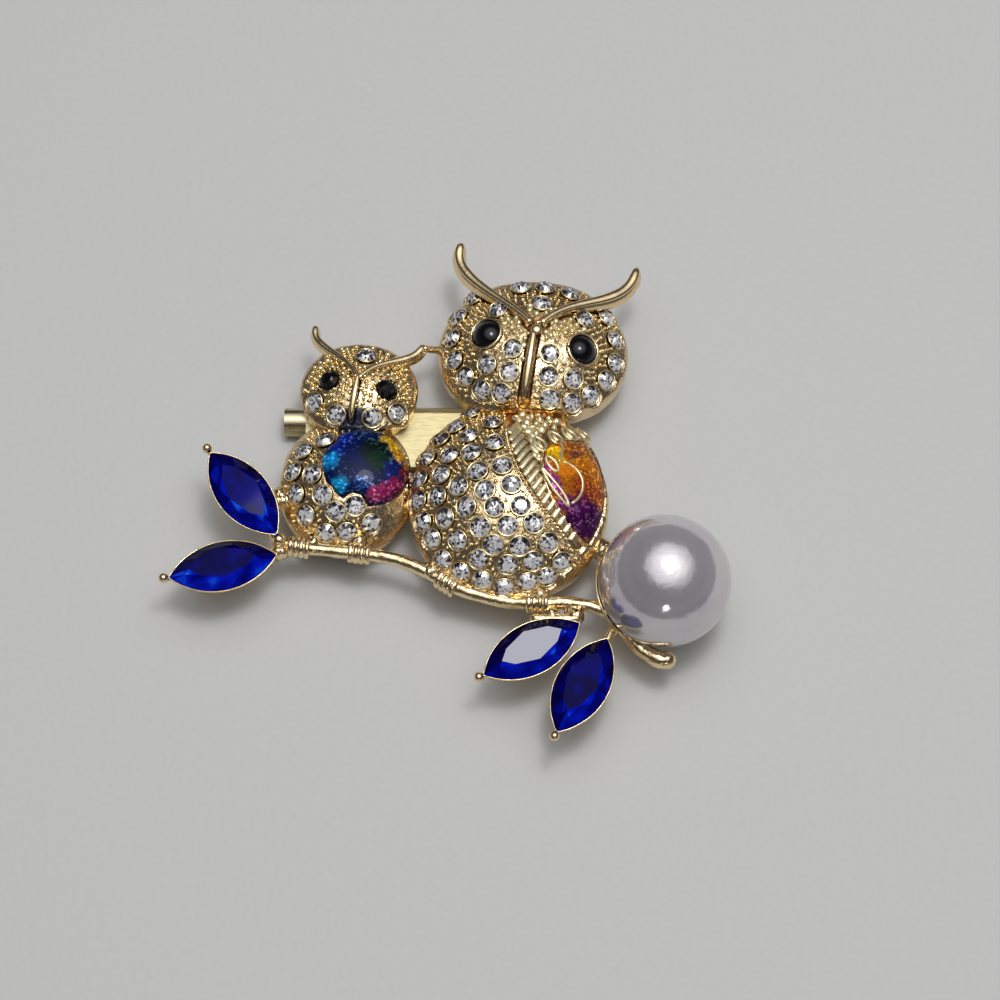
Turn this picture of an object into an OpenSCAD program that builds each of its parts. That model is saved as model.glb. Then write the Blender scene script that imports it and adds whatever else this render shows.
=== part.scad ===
// Figural brooch: a large and a small owl on a branch, with four blue leaves and a large pearl.
// It lies on its back: +Z is up, and the owls' heads point to +Y.

/* [Casting] */
// Height of the casting's flat back above the surface that the brooch lies on
back_z = 4; // [3.8:0.1:5]
// Width of the pale metal edge round each enamel
enamel_edge = 0.7; // [0.5:0.1:1]
// Depth of the enamel beds below the cast surface
enamel_bed = 0.7; // [0.4:0.1:1]
// Radius of the wing's barbs
barb_r = 0.22; // [0.15:0.01:0.3]

/* [Large owl] */
// Radius of the large owl's body seen from the front
large_body_r = 10.6; // [9.5:0.1:12]
// Radius of the curve of the large body's front
large_body_curve = 14; // [13:0.5:17]
// Height of the large body above the casting's back
large_body_h = 6.8; // [6:0.1:8]
// Half width of the large owl's head
large_head_w = 10.4; // [9.5:0.1:12]
// Half height of the large owl's head
large_head_h = 7.9; // [7:0.1:9]
// Radius of the curve of the large head's front
large_head_curve = 13; // [12:0.5:16]
// Height of the large head above the casting's back
large_head_z = 6.4; // [5.5:0.1:8]
// Radius of the large owl's horns at their thickest
large_horn_r = 0.8; // [0.5:0.05:0.9]
// Radius of the large owl's domed eyes
large_eye_r = 1.6; // [1.3:0.1:1.9]

/* [Small owl] */
// Radius of the small owl's body seen from the front
small_body_r = 7.2; // [6.5:0.1:8]
// Radius of the curve of the small body's front
small_body_curve = 9; // [8.5:0.5:12]
// Height of the small body above the casting's back
small_body_h = 4.4; // [4:0.1:6]
// Half width of the small owl's head
small_head_w = 6.4; // [5.8:0.1:7.4]
// Half height of the small owl's head
small_head_h = 5.2; // [4.8:0.1:6]
// Radius of the curve of the small head's front
small_head_curve = 8.2; // [7.8:0.2:11]
// Height of the small head above the casting's back
small_head_z = 4.6; // [4.2:0.1:6]
// Radius of the small owl's horns at their thickest
small_horn_r = 0.56; // [0.4:0.02:0.7]
// Diameter of the small owl's cut eyes
small_eye_d = 2.1; // [1.8:0.1:2.4]

/* [Stones] */
// Diameter of the round stones
stone_d = 2; // [1.6:0.05:2.05]
// Height of a round stone above its widest line
stone_crown = 0.42; // [0.3:0.02:0.6]
// Depth of a round stone below its widest line
stone_depth = 0.7; // [0.5:0.05:0.8]

/* [Leaves] */
// Length of a leaf's setting from tip to tip
leaf_l = 11.8; // [10:0.1:14]
// Width of a leaf's setting
leaf_w = 5.8; // [5:0.1:6.4]
// Wall of a leaf's setting
leaf_wall = 0.3; // [0.2:0.05:0.5]
// Height of a leaf's setting
leaf_h = 2.4; // [2:0.1:3]
// Height of a leaf's rim above the casting's back
leaf_rim_h = 2.5; // [2.4:0.1:3]
// Radius of the ball at a leaf's tip
leaf_ball_r = 0.55; // [0.4:0.05:0.8]

/* [Branch] */
// Radius of the branch
branch_r = 0.7; // [0.5:0.05:0.9]
// Height of the branch's middle above the casting's back
branch_h = 1.2; // [0.9:0.1:1.6]
// Radius of the ringed knots on the branch
knot_r = 1.05; // [0.9:0.05:1.3]
// Radius of the posts and stalks that join the castings
post_r = 0.95; // [0.8:0.05:1.2]

/* [Pearl] */
// Diameter of the pearl
pearl_d = 14; // [12:0.5:15]
// Wall of the cup under the pearl
cup_wall = 0.6; // [0.5:0.1:0.9]
// Radius of the peg that the pearl is set on
peg_r = 0.6; // [0.5:0.1:0.9]
// Depth of the hole drilled in the pearl
pearl_hole = 5; // [3:0.5:6]

/* [Back] */
// Outer diameter of the rolled tube
tube_d = 3.2; // [2.8:0.1:3.6]
// Wall of the rolled tube
tube_wall = 0.4; // [0.3:0.05:0.5]
// Length of the rolled tube
tube_l = 31; // [28:1:34]
// Thickness of the back plate
plate_t = 0.9; // [0.6:0.1:1]
// Height of the back plate below the tube's middle line
plate_h = 6.5; // [5.5:0.5:7]
// Radius of the pin's stem
pin_r = 0.5; // [0.4:0.05:0.6]
// Length of the pin between the middles of its hinge block and its catch
pin_l = 24; // [20:1:25]
// Radius of the rivets that hold the plate
rivet_r = 0.7; // [0.5:0.1:0.8]

/* [Clearances] */
// Gap round each stone, enamel and pearl in its seat
gap = 0.08; // [0.05:0.01:0.1]

/* [Hidden] */
$fn = 48;

GOLD = [0.86, 0.74, 0.48];
CLEAR = [0.86, 0.86, 0.92];
BLUE = [0.04, 0.05, 0.45];
BLACK = [0.03, 0.03, 0.03];

// A cut stone's table and base as shares of its width
table_share = 0.56;
base_share = 0.5;
// Metal left between a stone and the enamel beside it
stone_wall = 0.35;
// Height that each cut keeps open above its floor
open_above = 3;

// A dome is [middle, half width, half height, radius of its curve, height of its top].
MID = 0;
HALF_W = 1;
HALF_H = 2;
CURVE = 3;
TOP = 4;

// The owls' places come from the large body's middle, at the origin of this layout.
body_stretch = 1;
body_top_share = 0.95;
head_brow = 0.15;
large_head_shift = 2.7;
large_neck_overlap = 2.2;
small_body_rise = 2.2;
small_head_shift = 1.1;
small_neck_overlap = 2.9;
body_overlap = 0.3;
large_body = [[0, 0], large_body_r, large_body_r, large_body_curve, back_z + large_body_h];
large_head = [[large_head_shift, large_body_r + body_stretch + large_head_h - large_neck_overlap],
              large_head_w, large_head_h, large_head_curve, back_z + large_head_z];
small_body = [[body_overlap - large_body_r - small_body_r, small_body_rise],
              small_body_r, small_body_r, small_body_curve, back_z + small_body_h];
small_head_rise = small_body_r + body_stretch + small_head_h - small_neck_overlap;
small_head = [small_body[MID] + [small_head_shift, small_head_rise],
              small_head_w, small_head_h, small_head_curve, back_z + small_head_z];

// The faces lean a little clockwise.
face_lean = -9;

// Stones lie in rings about a dome's middle: [share of the half width, angles].
LARGE_BODY_RINGS = [
    [1.02, [112]], [0.92, [126, 139, 155, 170, 185, 200, 213, 305]],
    [0.97, [227, 240, 254, 281, 293]], [1.00, [267]],
    [0.75, [103]], [0.70, [126, 150, 169]], [0.73, [188, 208, 303]],
    [0.77, [228]], [0.82, [248, 269, 287]],
    [0.46, [108]], [0.51, [139, 185, 212, 299]], [0.48, [268]], [0.56, [239]], [0.67, [256, 279]],
    [0.33, [163, 244]], [0.31, [292]], [0.27, [206]], [0.16, [115]], [0.07, [290]]];
LARGE_HEAD_RINGS = [
    [0.68, [79, 101, 240, 284]], [0.73, [57]], [0.42, [78]], [0.89, [135, 153]], [0.87, [26, 171]],
    [0.85, [189, 334]], [0.80, [206]], [0.76, [224]], [0.78, [301]], [0.82, [317]], [0.88, [8, 350]],
    [0.52, [137]], [0.27, [214, 309]], [0.47, [237, 289]], [0.57, [210]], [0.61, [26, 313]]];
SMALL_BODY_RINGS = [
    [0.65, [120]], [0.77, [147]], [0.80, [174, 201]], [0.85, [226, 298]], [0.92, [252]],
    [0.88, [272]], [0.57, [286]], [0.50, [185]], [0.51, [229]], [0.64, [258]]];
SMALL_HEAD_RINGS = [[0.80, [201]], [0.68, [238, 292]], [0.83, [324]], [0.54, [76]]];

// Eyes: [share of the half width, angle], the left one first.
EYES = [[0.50, 174], [0.53, 346]];
eye_rim = 0.22;
eye_rim_h = 0.3;
eye_sink = 0.6;
eye_curve_share = 1.25;
eye_dome_z = 1.5;

// A horn's four control points: [x, y, height], the first two as shares of the head's half width,
// the height as a share of the head's height above the casting's back.
LARGE_HORNS = [[[-0.03, 0.13, 0.97], [-0.25, 0.44, 0.80], [-0.71, 0.80, 0.44], [-0.79, 1.23, 0.54]],
               [[0.08, 0.12, 0.97], [0.33, 0.49, 0.80], [0.90, 0.49, 0.44], [1.12, 0.94, 0.54]]];
SMALL_HORNS = [[[-0.02, 0.03, 0.97], [-0.19, 0.50, 0.80], [-0.66, 0.72, 0.46], [-0.77, 1.17, 0.54]],
               [[0.03, 0.03, 0.97], [0.36, 0.46, 0.80], [0.86, 0.43, 0.46], [1.11, 0.88, 0.54]]];
// Thickness along a horn: [share of its length, share of its radius].
HORN_TAPER = [[0, 0.5], [0.3, 0.7], [0.65, 1], [0.88, 0.85], [0.96, 0.55], [1, 0.15]];
horn_rise = 2;
// A beak's ridge runs down the face's leaning middle line, from one share of the half width to another.
BEAK = [0.05, -0.67];
BEAK_TAPER = [[0, 0.6], [0.5, 1], [0.85, 0.8], [1, 0.3]];
large_beak_r = 0.75;
small_beak_r = 0.6;
beak_lift = 0.1;
brow_ball = [0.3, 0.4];
brow_ball_r = 0.55;

// The large wing: its enamel lies within two circles, [[middle], radius], as shares of the body's radius.
WING_SIDE = [[1.22, 0.2], 0.86];
WING_TOP = [[0.8, -0.075], 0.63];
// Its barbs run between two curves, given as shares of the body's radius.
BARB_LEFT = [[0, 0.556], [0.054, 0.058], [0.311, -0.27], [0.607, -0.552]];
BARB_RIGHT = [[0.13, 0.67], [0.21, 0.12], [0.38, -0.07], [0.6, -0.44]];
barb_count = 16;
// Pointed cells above the enamel: [middle as shares of the body's radius, direction].
WING_CELLS = [[[0.31, 0.43], -65], [[0.46, 0.56], -49], [[0.61, 0.63], -51]];
cell_l = 2.1;
cell_w = 1;
cell_wall = 0.22;
cell_rise = 0.25;
large_enamel_rise = 0.45;

// The small wing is one round bed: [[middle], radius] as shares of the body's radius.
SMALL_WING = [[0.3, 0.11], 0.63];
small_enamel_rise = 0.8;
small_enamel_shift = [1.1, 0.4, 0];

// The pearl stands off the large body in this direction.
pearl_r = pearl_d / 2;
cup_r = pearl_r + gap + cup_wall;
pearl_angle = -32.7;
pearl_space = 1.1;
pearl_off = large_body_r + cup_r + pearl_space;
pearl_at = [pearl_off * cos(pearl_angle), pearl_off * sin(pearl_angle), cup_r];
// The cup leans to the left, so that its rim stands highest beside the body.
cup_lean = 34;
cup_lean_to = 183;
cup_rim_angle = 52;
// What is left above the peg in the pearl's hole
peg_end_gap = 0.3;

// The branch runs below both bodies, under the pearl and out in a curl.
branch_z = back_z + branch_h;
branch_space = 0.9;
small_x = small_body[MID].x;
small_low = small_body[MID].y - small_body_r - branch_space;
large_branch_space = 1.4;
large_low = -large_body_r - large_branch_space;
// Its points below each owl and round the pearl, as shares of that body's or the pearl's radius
SMALL_ROUTE = [[-0.97, 0.11], [-0.67, 0.04], [-0.31, 0], [0.22, -0.06], [0.58, -0.11]];
LARGE_ROUTE = [[-0.99, 0.42], [-0.69, 0.26], [-0.54, 0.17], [-0.29, 0.08], [0.01, 0.01], [0.28, 0], [0.60, 0]];
PEARL_ROUTE = [[-0.96, -0.31, 0], [-0.70, -0.50, -0.03], [-0.49, -0.79, -0.06],
               [-0.30, -0.97, -0.06], [-0.07, -1.10, -0.06], [0.09, -1.09, -0.06]];
BRANCH_ROUTE = concat(
    [for (p = SMALL_ROUTE) [small_x + p.x * small_body_r, small_low + p.y * small_body_r, branch_z]],
    [for (p = LARGE_ROUTE) [p.x * large_body_r, large_low + p.y * large_body_r, branch_z]],
    [for (p = PEARL_ROUTE) [pearl_at.x, pearl_at.y, branch_z] + p * pearl_r]);
// Thickness along the branch: [share of the route, share of branch_r].
BRANCH_TAPER = [[0, 1], [0.86, 1], [0.95, 1.35], [0.98, 1.2], [1, 0.4]];
// Route points that carry a ringed knot.
KNOTS = [1, 3, 6.5, 10];
knot_l = 2;
knot_core = 0.15;
ring_w = 0.36;
ring_pitch = 0.65;

// Leaves: [point of the route, offset to the inner tip as shares of leaf_w, direction, rise of the outer end].
leaf_z = back_z + leaf_rim_h;
LEAVES = [[0, [-0.02, 0.07], 129.6, 8], [0, [0, -0.31], 193, 0],
          [11, [0.19, -0.45], 210, 0], [13, [-0.19, -0.4], 242.3, 0]];
leaf_floor = 0.5;
leaf_ball_out = 0.8 * leaf_ball_r;
leaf_neck_r = 0.3;
leaf_neck_l = 1.3;
leaf_stalk = 1.2;
leaf_stalk_r = 0.55;
leaf_gem_sink = 0.1;
leaf_gem_crown = 1.1;

// Posts that join the castings: [x, y].
post_low = back_z + 0.15;
post_h = 1.9;
post_sink = 0.6;
post_nudge = 0.1;
joint_x = small_x - 0.96 * small_body_r;
POSTS = [
    [small_x + 0.19 * small_body_r, small_low + branch_space],
    [small_x - 0.47 * small_body_r, small_low + branch_space],
    [-0.78 * large_body_r, large_low + 0.34 * large_body_r],
    [0.31 * large_body_r, large_low + branch_space],
    [post_sink - large_body_r, 0.17 * small_body_r],
    [small_x - small_body_r + post_nudge, 0.04 * small_body_r],
    [large_body_r - post_sink, -0.53 * large_body_r],
    [pearl_at.x - 0.9 * pearl_r, pearl_at.y + 0.61 * pearl_r],
    [joint_x, small_low - post_nudge],
    [leaf_foot(2).x - 0.53 * leaf_w, large_low - large_branch_space],
    [leaf_foot(2).x - 0.09 * leaf_w, large_low - large_branch_space]];
// The ball where the two left leaves meet the branch
joint_ball_r = 0.75;
joint_ball_lift = 0.8;
joint_ball = [joint_x, small_low + 0.11 * small_body_r, branch_z + joint_ball_lift];

// The small owl's right horn is joined to the large head's edge by a thin bar.
horn_link_start = 0.95;
horn_link_r = 0.4;
horn_link_sink = 0.5;
horn_link_end = [large_head[MID].x - large_head_w + horn_link_sink,
                 large_head[MID].y + 0.11 * large_head_h, back_z + 2 * horn_link_r];

// The back plate and its rolled tube lie behind both bodies.
tube_r = tube_d / 2;
tube_y = 1.03 * large_body_r;
tube_x = small_x - small_body_r;
plate_top = back_z - gap;
plate_inset = 2.5;
rivet_root = 0.5;
rivet_inset = 2;
rivet_y = tube_y - tube_r - rivet_inset;
PLATE_RIVETS = [[small_x + 0.08 * small_body_r, rivet_y], [-0.49 * large_body_r, rivet_y - rivet_r],
                [tube_x + tube_l - rivet_inset - rivet_r, rivet_y]];
// The pin's blocks stand on the surface below the plate, clear of the tube.
pin_block = 2.4;
pin_tube_space = 0.6;
pin_x = tube_x + plate_inset + pin_block / 2;
pin_y = tube_y - tube_r - pin_tube_space - pin_block;

// The whole is centred on its own extent.
leaf_2_tip = leaf_tip(1);
leaf_4_tip = leaf_tip(3);
left_end = leaf_2_tip.x - leaf_ball_r;
right_end = pearl_at.x + pearl_r;
low_end = leaf_4_tip.y - leaf_ball_r;
high_end = horn_point(large_head, LARGE_HORNS[0], 1).y;
centre = [(left_end + right_end) / 2, (low_end + high_end) / 2, 0];

// Places and curves
function dome_middle(d) = [d[MID].x, d[MID].y, d[TOP] - d[CURVE]];
function ring_place(d, share, angle) = share * d[HALF_W] * [cos(angle), sin(angle)];
function dome_point(d, p, lift = 0) =
    let(up = sqrt(pow(d[CURVE], 2) - pow(norm(p), 2)))
    dome_middle(d) + [p.x, p.y, up] * (d[CURVE] + lift) / d[CURVE];
function bezier(c, t) =
    pow(1 - t, 3) * c[0] + 3 * t * pow(1 - t, 2) * c[1] + 3 * t * t * (1 - t) * c[2] + pow(t, 3) * c[3];
function horn_control(d, c) =
    [d[MID].x + c.x * d[HALF_W], d[MID].y + c.y * d[HALF_W], back_z + c.z * (d[TOP] - back_z)];
function horn_point(d, horn, t) = bezier([for (c = horn) horn_control(d, c)], t);
function eye_place(d, i) = ring_place(d, EYES[i][0], EYES[i][1]);
function route_point(t) =
    let(last = len(BRANCH_ROUTE) - 1, i = min(floor(t), last - 1), u = t - i,
        a = BRANCH_ROUTE[max(i - 1, 0)], b = BRANCH_ROUTE[i],
        c = BRANCH_ROUTE[i + 1], e = BRANCH_ROUTE[min(i + 2, last)])
    0.5 * (2 * b + (c - a) * u + (2 * a - 5 * b + 4 * c - e) * u * u + (3 * b - a - 3 * c + e) * pow(u, 3));
function route_turn(t) =
    let(step = route_point(t + 0.05) - route_point(t - 0.05)) atan2(step.y, step.x);
function leaf_foot(i) =
    let(p = route_point(LEAVES[i][0]), off = LEAVES[i][1] * leaf_w) [p.x + off.x, p.y + off.y, leaf_z];
function leaf_along(i) =
    let(a = LEAVES[i][2], rise = LEAVES[i][3]) [cos(a) * cos(rise), sin(a) * cos(rise), sin(rise)];
function leaf_tip(i) = leaf_foot(i) + leaf_along(i) * (leaf_l + leaf_ball_out);

// A pointed oval between two arcs: the arcs' radius, and the half length left by an inset
function lens_arc(l, w) = (l * l / 4 + w * w / 4) / w;
function lens_half(l, w, inset) =
    let(ra = lens_arc(l, w)) sqrt(pow(ra - inset, 2) - pow(ra - w / 2, 2));
function lens_outline(l, w, count) =
    let(ra = lens_arc(l, w))
    [for (i = [0:count - 1]) let(a = 360 * i / count, x = l / 2 * cos(a))
        [x, sign(sin(a)) * (sqrt(ra * ra - x * x) - ra + w / 2)]];
function round_outline(d, count) =
    [for (i = [0:count - 1]) let(a = 360 * i / count) d / 2 * [cos(a), sin(a)]];

// A cut stone with an eight-sided table, from an outline of sixteen points
module gem(outline, table_share, base_share, crown, depth) {
    table = [for (i = [0:7]) let(p = outline[2 * i] * table_share) [p.x, p.y, crown]];
    girdle = [for (p = outline) [p.x, p.y, 0]];
    base = [for (i = [0:7]) let(p = outline[2 * i] * base_share) [p.x, p.y, -depth]];
    g = 8;
    b = 24;
    faces = [
        for (i = [0:7]) let(n = (i + 1) % 8, g0 = g + 2 * i, g1 = g0 + 1, g2 = g + 2 * n)
            each [[i, n, g1], [i, g1, g0], [n, g2, g1],
                  [b + i, g1, b + n], [b + i, g0, g1], [b + n, g1, g2]],
        [for (i = [7:-1:0]) i], [for (i = [0:7]) b + i]];
    polyhedron(concat(table, girdle, base), faces);
}

// A round rod swept along a path, with one pair of radii, across and up, for each point
module swept_rod(path, radii, sides) {
    last = len(path) - 1;
    points = [for (k = [0:last])
        let(t = path[min(k + 1, last)] - path[max(k - 1, 0)], along = t / norm(t),
            across = cross([0, 0, 1], along), side = across / norm(across), up = cross(along, side))
        for (i = [0:sides - 1]) let(a = 360 * i / sides)
            path[k] + side * radii[k].x * cos(a) + up * radii[k].y * sin(a)];
    faces = [
        for (k = [0:last - 1]) for (i = [0:sides - 1])
            let(n = (i + 1) % sides, p = k * sides + i, q = k * sides + n)
            each [[p, p + sides, q + sides], [p, q + sides, q]],
        [for (i = [0:sides - 1]) i], [for (i = [sides - 1:-1:0]) last * sides + i]];
    polyhedron(points, faces);
}

// Stands its children on a dome's surface at a place measured from the dome's middle
module on_dome(d, p, lift = 0) {
    heading = atan2(p.y, p.x);
    translate(dome_middle(d)) rotate([0, asin(norm(p) / d[CURVE]), heading])
        translate([0, 0, d[CURVE] + lift]) rotate(-heading) children();
}

module at_stones(d, rings) {
    for (ring = rings) for (angle = ring[1]) on_dome(d, ring_place(d, ring[0], angle)) children();
}

module round_gem(d) {
    gem(round_outline(d, 16), table_share, base_share, stone_crown, stone_depth);
}

module round_seat(d) {
    translate([0, 0, -stone_depth - gap]) cylinder(r = d / 2 + gap, h = stone_depth + open_above);
}

module field(d, rings) {
    color(CLEAR) translate(-centre) at_stones(d, rings) round_gem(stone_d);
}

// Outlines seen from the front
module body_outline(d, inset = 0) {
    translate(d[MID] - [0, body_stretch]) circle(r = d[HALF_W] - inset);
    translate(d[MID] + [0, body_stretch]) circle(r = body_top_share * d[HALF_W] - inset);
}

module head_outline(d, grow = 0) {
    offset_x = d[HALF_W] - d[HALF_H];
    for (side = [-1, 1]) translate(d[MID] + [side * offset_x, 0]) circle(r = d[HALF_H] + grow);
    translate(d[MID]) circle(r = d[HALF_H] + head_brow + grow);
}

module dome(d) {
    intersection() {
        translate(dome_middle(d)) sphere(r = d[CURVE]);
        translate([0, 0, back_z]) linear_extrude(d[TOP] - back_z + 1) children();
    }
}

module part_circle(d, spot, inset) {
    translate(d[MID] + spot[0] * d[HALF_W]) circle(r = spot[1] * d[HALF_W] - inset);
}

module large_wing_outline(inset) {
    intersection() {
        circle(r = large_body_r - enamel_edge - inset);
        part_circle(large_body, WING_SIDE, inset);
        part_circle(large_body, WING_TOP, inset);
    }
}

// The small wing ends below the head and goes round the stones at its edge.
module small_wing_outline(inset) {
    difference() {
        part_circle(small_body, SMALL_WING, inset);
        head_outline(small_head, inset);
        for (ring = SMALL_BODY_RINGS) for (angle = ring[1])
            translate(small_body[MID] + ring_place(small_body, ring[0], angle))
                circle(r = stone_d / 2 + stone_wall + inset);
    }
}

module bed(d) {
    difference() {
        translate([0, 0, back_z - 1]) linear_extrude(d[TOP] - back_z + open_above) children();
        translate(dome_middle(d)) sphere(r = d[CURVE] - enamel_bed);
    }
}

// The enamel fills its bed and stands above it, with its top rounded about a shifted middle.
module enamel(d, rise, shift) {
    difference() {
        intersection() {
            translate([0, 0, back_z]) linear_extrude(d[TOP] - back_z + open_above) children();
            translate(dome_middle(d) + shift) sphere(r = d[CURVE] + rise);
        }
        translate(dome_middle(d)) sphere(r = d[CURVE] - enamel_bed + gap);
    }
}

module horn(d, controls, horn_r) {
    steps = 12;
    path = [for (i = [0:steps]) horn_point(d, controls, i / steps)];
    radii = [for (i = [0:steps]) let(r = horn_r * lookup(i / steps, HORN_TAPER)) [r, r * horn_rise]];
    swept_rod(path, radii, 8);
}

module beak(d, beak_r) {
    steps = 6;
    way = d[HALF_W] * [sin(-face_lean), cos(face_lean)];
    path = [for (i = [0:steps]) dome_point(d, (BEAK[0] + (BEAK[1] - BEAK[0]) * i / steps) * way, beak_lift)];
    radii = [for (i = [0:steps]) let(r = beak_r * lookup(i / steps, BEAK_TAPER)) [r / 2, r]];
    swept_rod(path, radii, 6);
}

module large_face() {
    for (i = [0, 1]) on_dome(large_head, eye_place(large_head, i), -eye_rim_h)
        cylinder(r = large_eye_r + gap + eye_rim, h = 2 * eye_rim_h);
    for (controls = LARGE_HORNS) horn(large_head, controls, large_horn_r);
    beak(large_head, large_beak_r);
    on_dome(large_head, brow_ball) sphere(r = brow_ball_r);
}

module small_face() {
    for (controls = SMALL_HORNS) horn(small_head, controls, small_horn_r);
    beak(small_head, small_beak_r);
}

module bar(from, to, r) {
    way = to - from;
    translate(from) rotate([0, acos(way.z / norm(way)), atan2(way.y, way.x)]) cylinder(r = r, h = norm(way));
}

// The large wing's raised lines: slanting barbs beside the enamel and pointed cells above it
module wing_lines() {
    for (i = [0:barb_count - 1]) let(t = i / (barb_count - 1))
        bar(dome_point(large_body, bezier(BARB_LEFT, t) * large_body_r),
            dome_point(large_body, bezier(BARB_RIGHT, t) * large_body_r), barb_r);
    for (cell = WING_CELLS) on_dome(large_body, cell[0] * large_body_r, -cell_rise) rotate(cell[1])
        linear_extrude(2 * cell_rise) difference() {
            lens(cell_l, cell_w, 0);
            lens(cell_l, cell_w, cell_wall);
        }
}

module owls() {
    difference() {
        union() {
            dome(large_body) body_outline(large_body);
            wing_lines();
        }
        bed(large_body) large_wing_outline(0);
    }
    difference() {
        union() {
            dome(large_head) head_outline(large_head);
            large_face();
        }
        at_stones(large_head, LARGE_HEAD_RINGS) round_seat(stone_d);
        for (i = [0, 1]) on_dome(large_head, eye_place(large_head, i), -eye_sink)
            cylinder(r = large_eye_r + gap, h = open_above);
    }
    difference() {
        dome(small_body) body_outline(small_body);
        bed(small_body) small_wing_outline(0);
    }
    difference() {
        union() {
            dome(small_head) head_outline(small_head);
            small_face();
        }
        at_stones(small_head, SMALL_HEAD_RINGS) round_seat(stone_d);
        for (i = [0, 1]) on_dome(small_head, eye_place(small_head, i)) round_seat(small_eye_d);
    }
}

module knot(t) {
    translate(route_point(t)) rotate([0, 90, route_turn(t)]) {
        cylinder(r = knot_r - knot_core, h = knot_l, center = true);
        for (i = [-1:1]) translate([0, 0, ring_pitch * i]) cylinder(r = knot_r, h = ring_w, center = true);
    }
}

module branch() {
    steps_each = 3;
    last = (len(BRANCH_ROUTE) - 1) * steps_each;
    path = [for (i = [0:last]) route_point(i / steps_each)];
    radii = [for (i = [0:last]) let(r = branch_r * lookup(i / last, BRANCH_TAPER)) [r, r]];
    swept_rod(path, radii, 8);
    for (t = KNOTS) knot(t);
    for (p = POSTS) translate([p.x, p.y, post_low]) cylinder(r = post_r, h = post_h);
    for (i = [0:3]) let(foot = leaf_foot(i) + leaf_along(i) * leaf_stalk)
        bar(route_point(LEAVES[i][0]), [foot.x, foot.y, branch_z], leaf_stalk_r);
    translate(joint_ball) sphere(r = joint_ball_r);
    bar(horn_point(small_head, SMALL_HORNS[1], horn_link_start), horn_link_end, horn_link_r);
}

// Leaves in their own frame: +X runs from the inner tip to the outer one, and the rim is at z 0.
module at_leaf(i) {
    translate(leaf_foot(i)) rotate([0, -LEAVES[i][3], LEAVES[i][2]]) translate([leaf_l / 2, 0, 0]) children();
}

module lens(l, w, inset) {
    ra = lens_arc(l, w);
    intersection_for (side = [-1, 1]) translate([0, side * (ra - w / 2)]) circle(r = ra - inset);
}

module leaf_setting() {
    translate([0, 0, -leaf_h]) linear_extrude(leaf_h) lens(leaf_l, leaf_w, 0);
    translate([leaf_l / 2 + leaf_ball_out, 0, 0]) sphere(r = leaf_ball_r);
    translate([leaf_l / 2 + 0.3 - leaf_neck_l, 0, -0.8 * leaf_ball_r]) rotate([0, 90, 0])
        cylinder(r = leaf_neck_r, h = leaf_neck_l);
}

module leaf_seat() {
    translate([0, 0, leaf_floor - leaf_h]) linear_extrude(leaf_h + open_above) lens(leaf_l, leaf_w, leaf_wall);
}

module leaf_stone(i) {
    inset = leaf_wall + gap;
    l = 2 * lens_half(leaf_l, leaf_w, inset);
    w = leaf_w - 2 * inset;
    color(BLUE) translate(-centre) at_leaf(i) translate([0, 0, -leaf_gem_sink])
        gem(lens_outline(l, w, 16), 0.62, 0.6, leaf_gem_crown, leaf_h - leaf_floor - leaf_gem_sink - gap);
}

module pearl_cup() {
    translate(pearl_at) difference() {
        sphere(r = cup_r);
        rotate([0, cup_lean, cup_lean_to + 180]) translate([0, 0, cup_r - cup_r * cos(cup_rim_angle)])
            cube(2 * cup_r, center = true);
    }
}

module pearl_peg() {
    translate([pearl_at.x, pearl_at.y, cup_wall / 2])
        cylinder(r = peg_r, h = cup_wall / 2 + gap + pearl_hole - peg_end_gap);
}

module rivets() {
    for (p = PLATE_RIVETS) translate([p.x, p.y, plate_top - plate_t])
        cylinder(r = rivet_r, h = plate_t + gap + rivet_root);
}

module frame() {
    color(GOLD) translate(-centre) {
        difference() {
            union() {
                owls();
                branch();
                for (i = [0:3]) at_leaf(i) leaf_setting();
                pearl_cup();
            }
            at_stones(large_body, LARGE_BODY_RINGS) round_seat(stone_d);
            at_stones(small_body, SMALL_BODY_RINGS) round_seat(stone_d);
            translate(pearl_at) sphere(r = pearl_r + gap);
            for (i = [0:3]) at_leaf(i) leaf_seat();
        }
        pearl_peg();
        rivets();
    }
}

module back_plate() {
    color(GOLD) translate(-centre) difference() {
        union() {
            translate([tube_x, tube_y, tube_r]) rotate([0, 90, 0]) cylinder(r = tube_r, h = tube_l);
            translate([tube_x + plate_inset, tube_y - plate_h, plate_top - plate_t])
                cube([tube_l - plate_inset, plate_h, plate_t]);
        }
        translate([tube_x - 1, tube_y, tube_r]) rotate([0, 90, 0])
            cylinder(r = tube_r - tube_wall, h = tube_l + 2);
        for (p = PLATE_RIVETS) translate([p.x, p.y, plate_top - plate_t - 1])
            cylinder(r = rivet_r + gap, h = plate_t + 2);
    }
}

module pin_clasp() {
    block_h = plate_top - plate_t - gap;
    color(GOLD) translate(-centre) {
        for (x = [pin_x, pin_x + pin_l]) translate([x - pin_block / 2, pin_y - pin_block / 2, 0])
            cube([pin_block, pin_block, block_h]);
        translate([pin_x, pin_y, block_h / 2]) rotate([0, 90, 0]) cylinder(r = pin_r, h = pin_l);
    }
}

module pearl() {
    color("ghostwhite") translate(pearl_at - centre) difference() {
        sphere(r = pearl_r);
        translate([0, 0, -pearl_r - 1]) cylinder(r = peg_r + gap, h = pearl_hole + 1);
    }
}

module large_eye(i) {
    cap_r = large_eye_r * eye_curve_share;
    color(BLACK) translate(-centre) on_dome(large_head, eye_place(large_head, i), gap - eye_sink)
        intersection() {
            cylinder(r = large_eye_r, h = open_above);
            translate([0, 0, eye_dome_z - cap_r]) sphere(r = cap_r);
        }
}

module small_eye(i) {
    color(BLACK) translate(-centre) on_dome(small_head, eye_place(small_head, i)) round_gem(small_eye_d);
}

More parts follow.
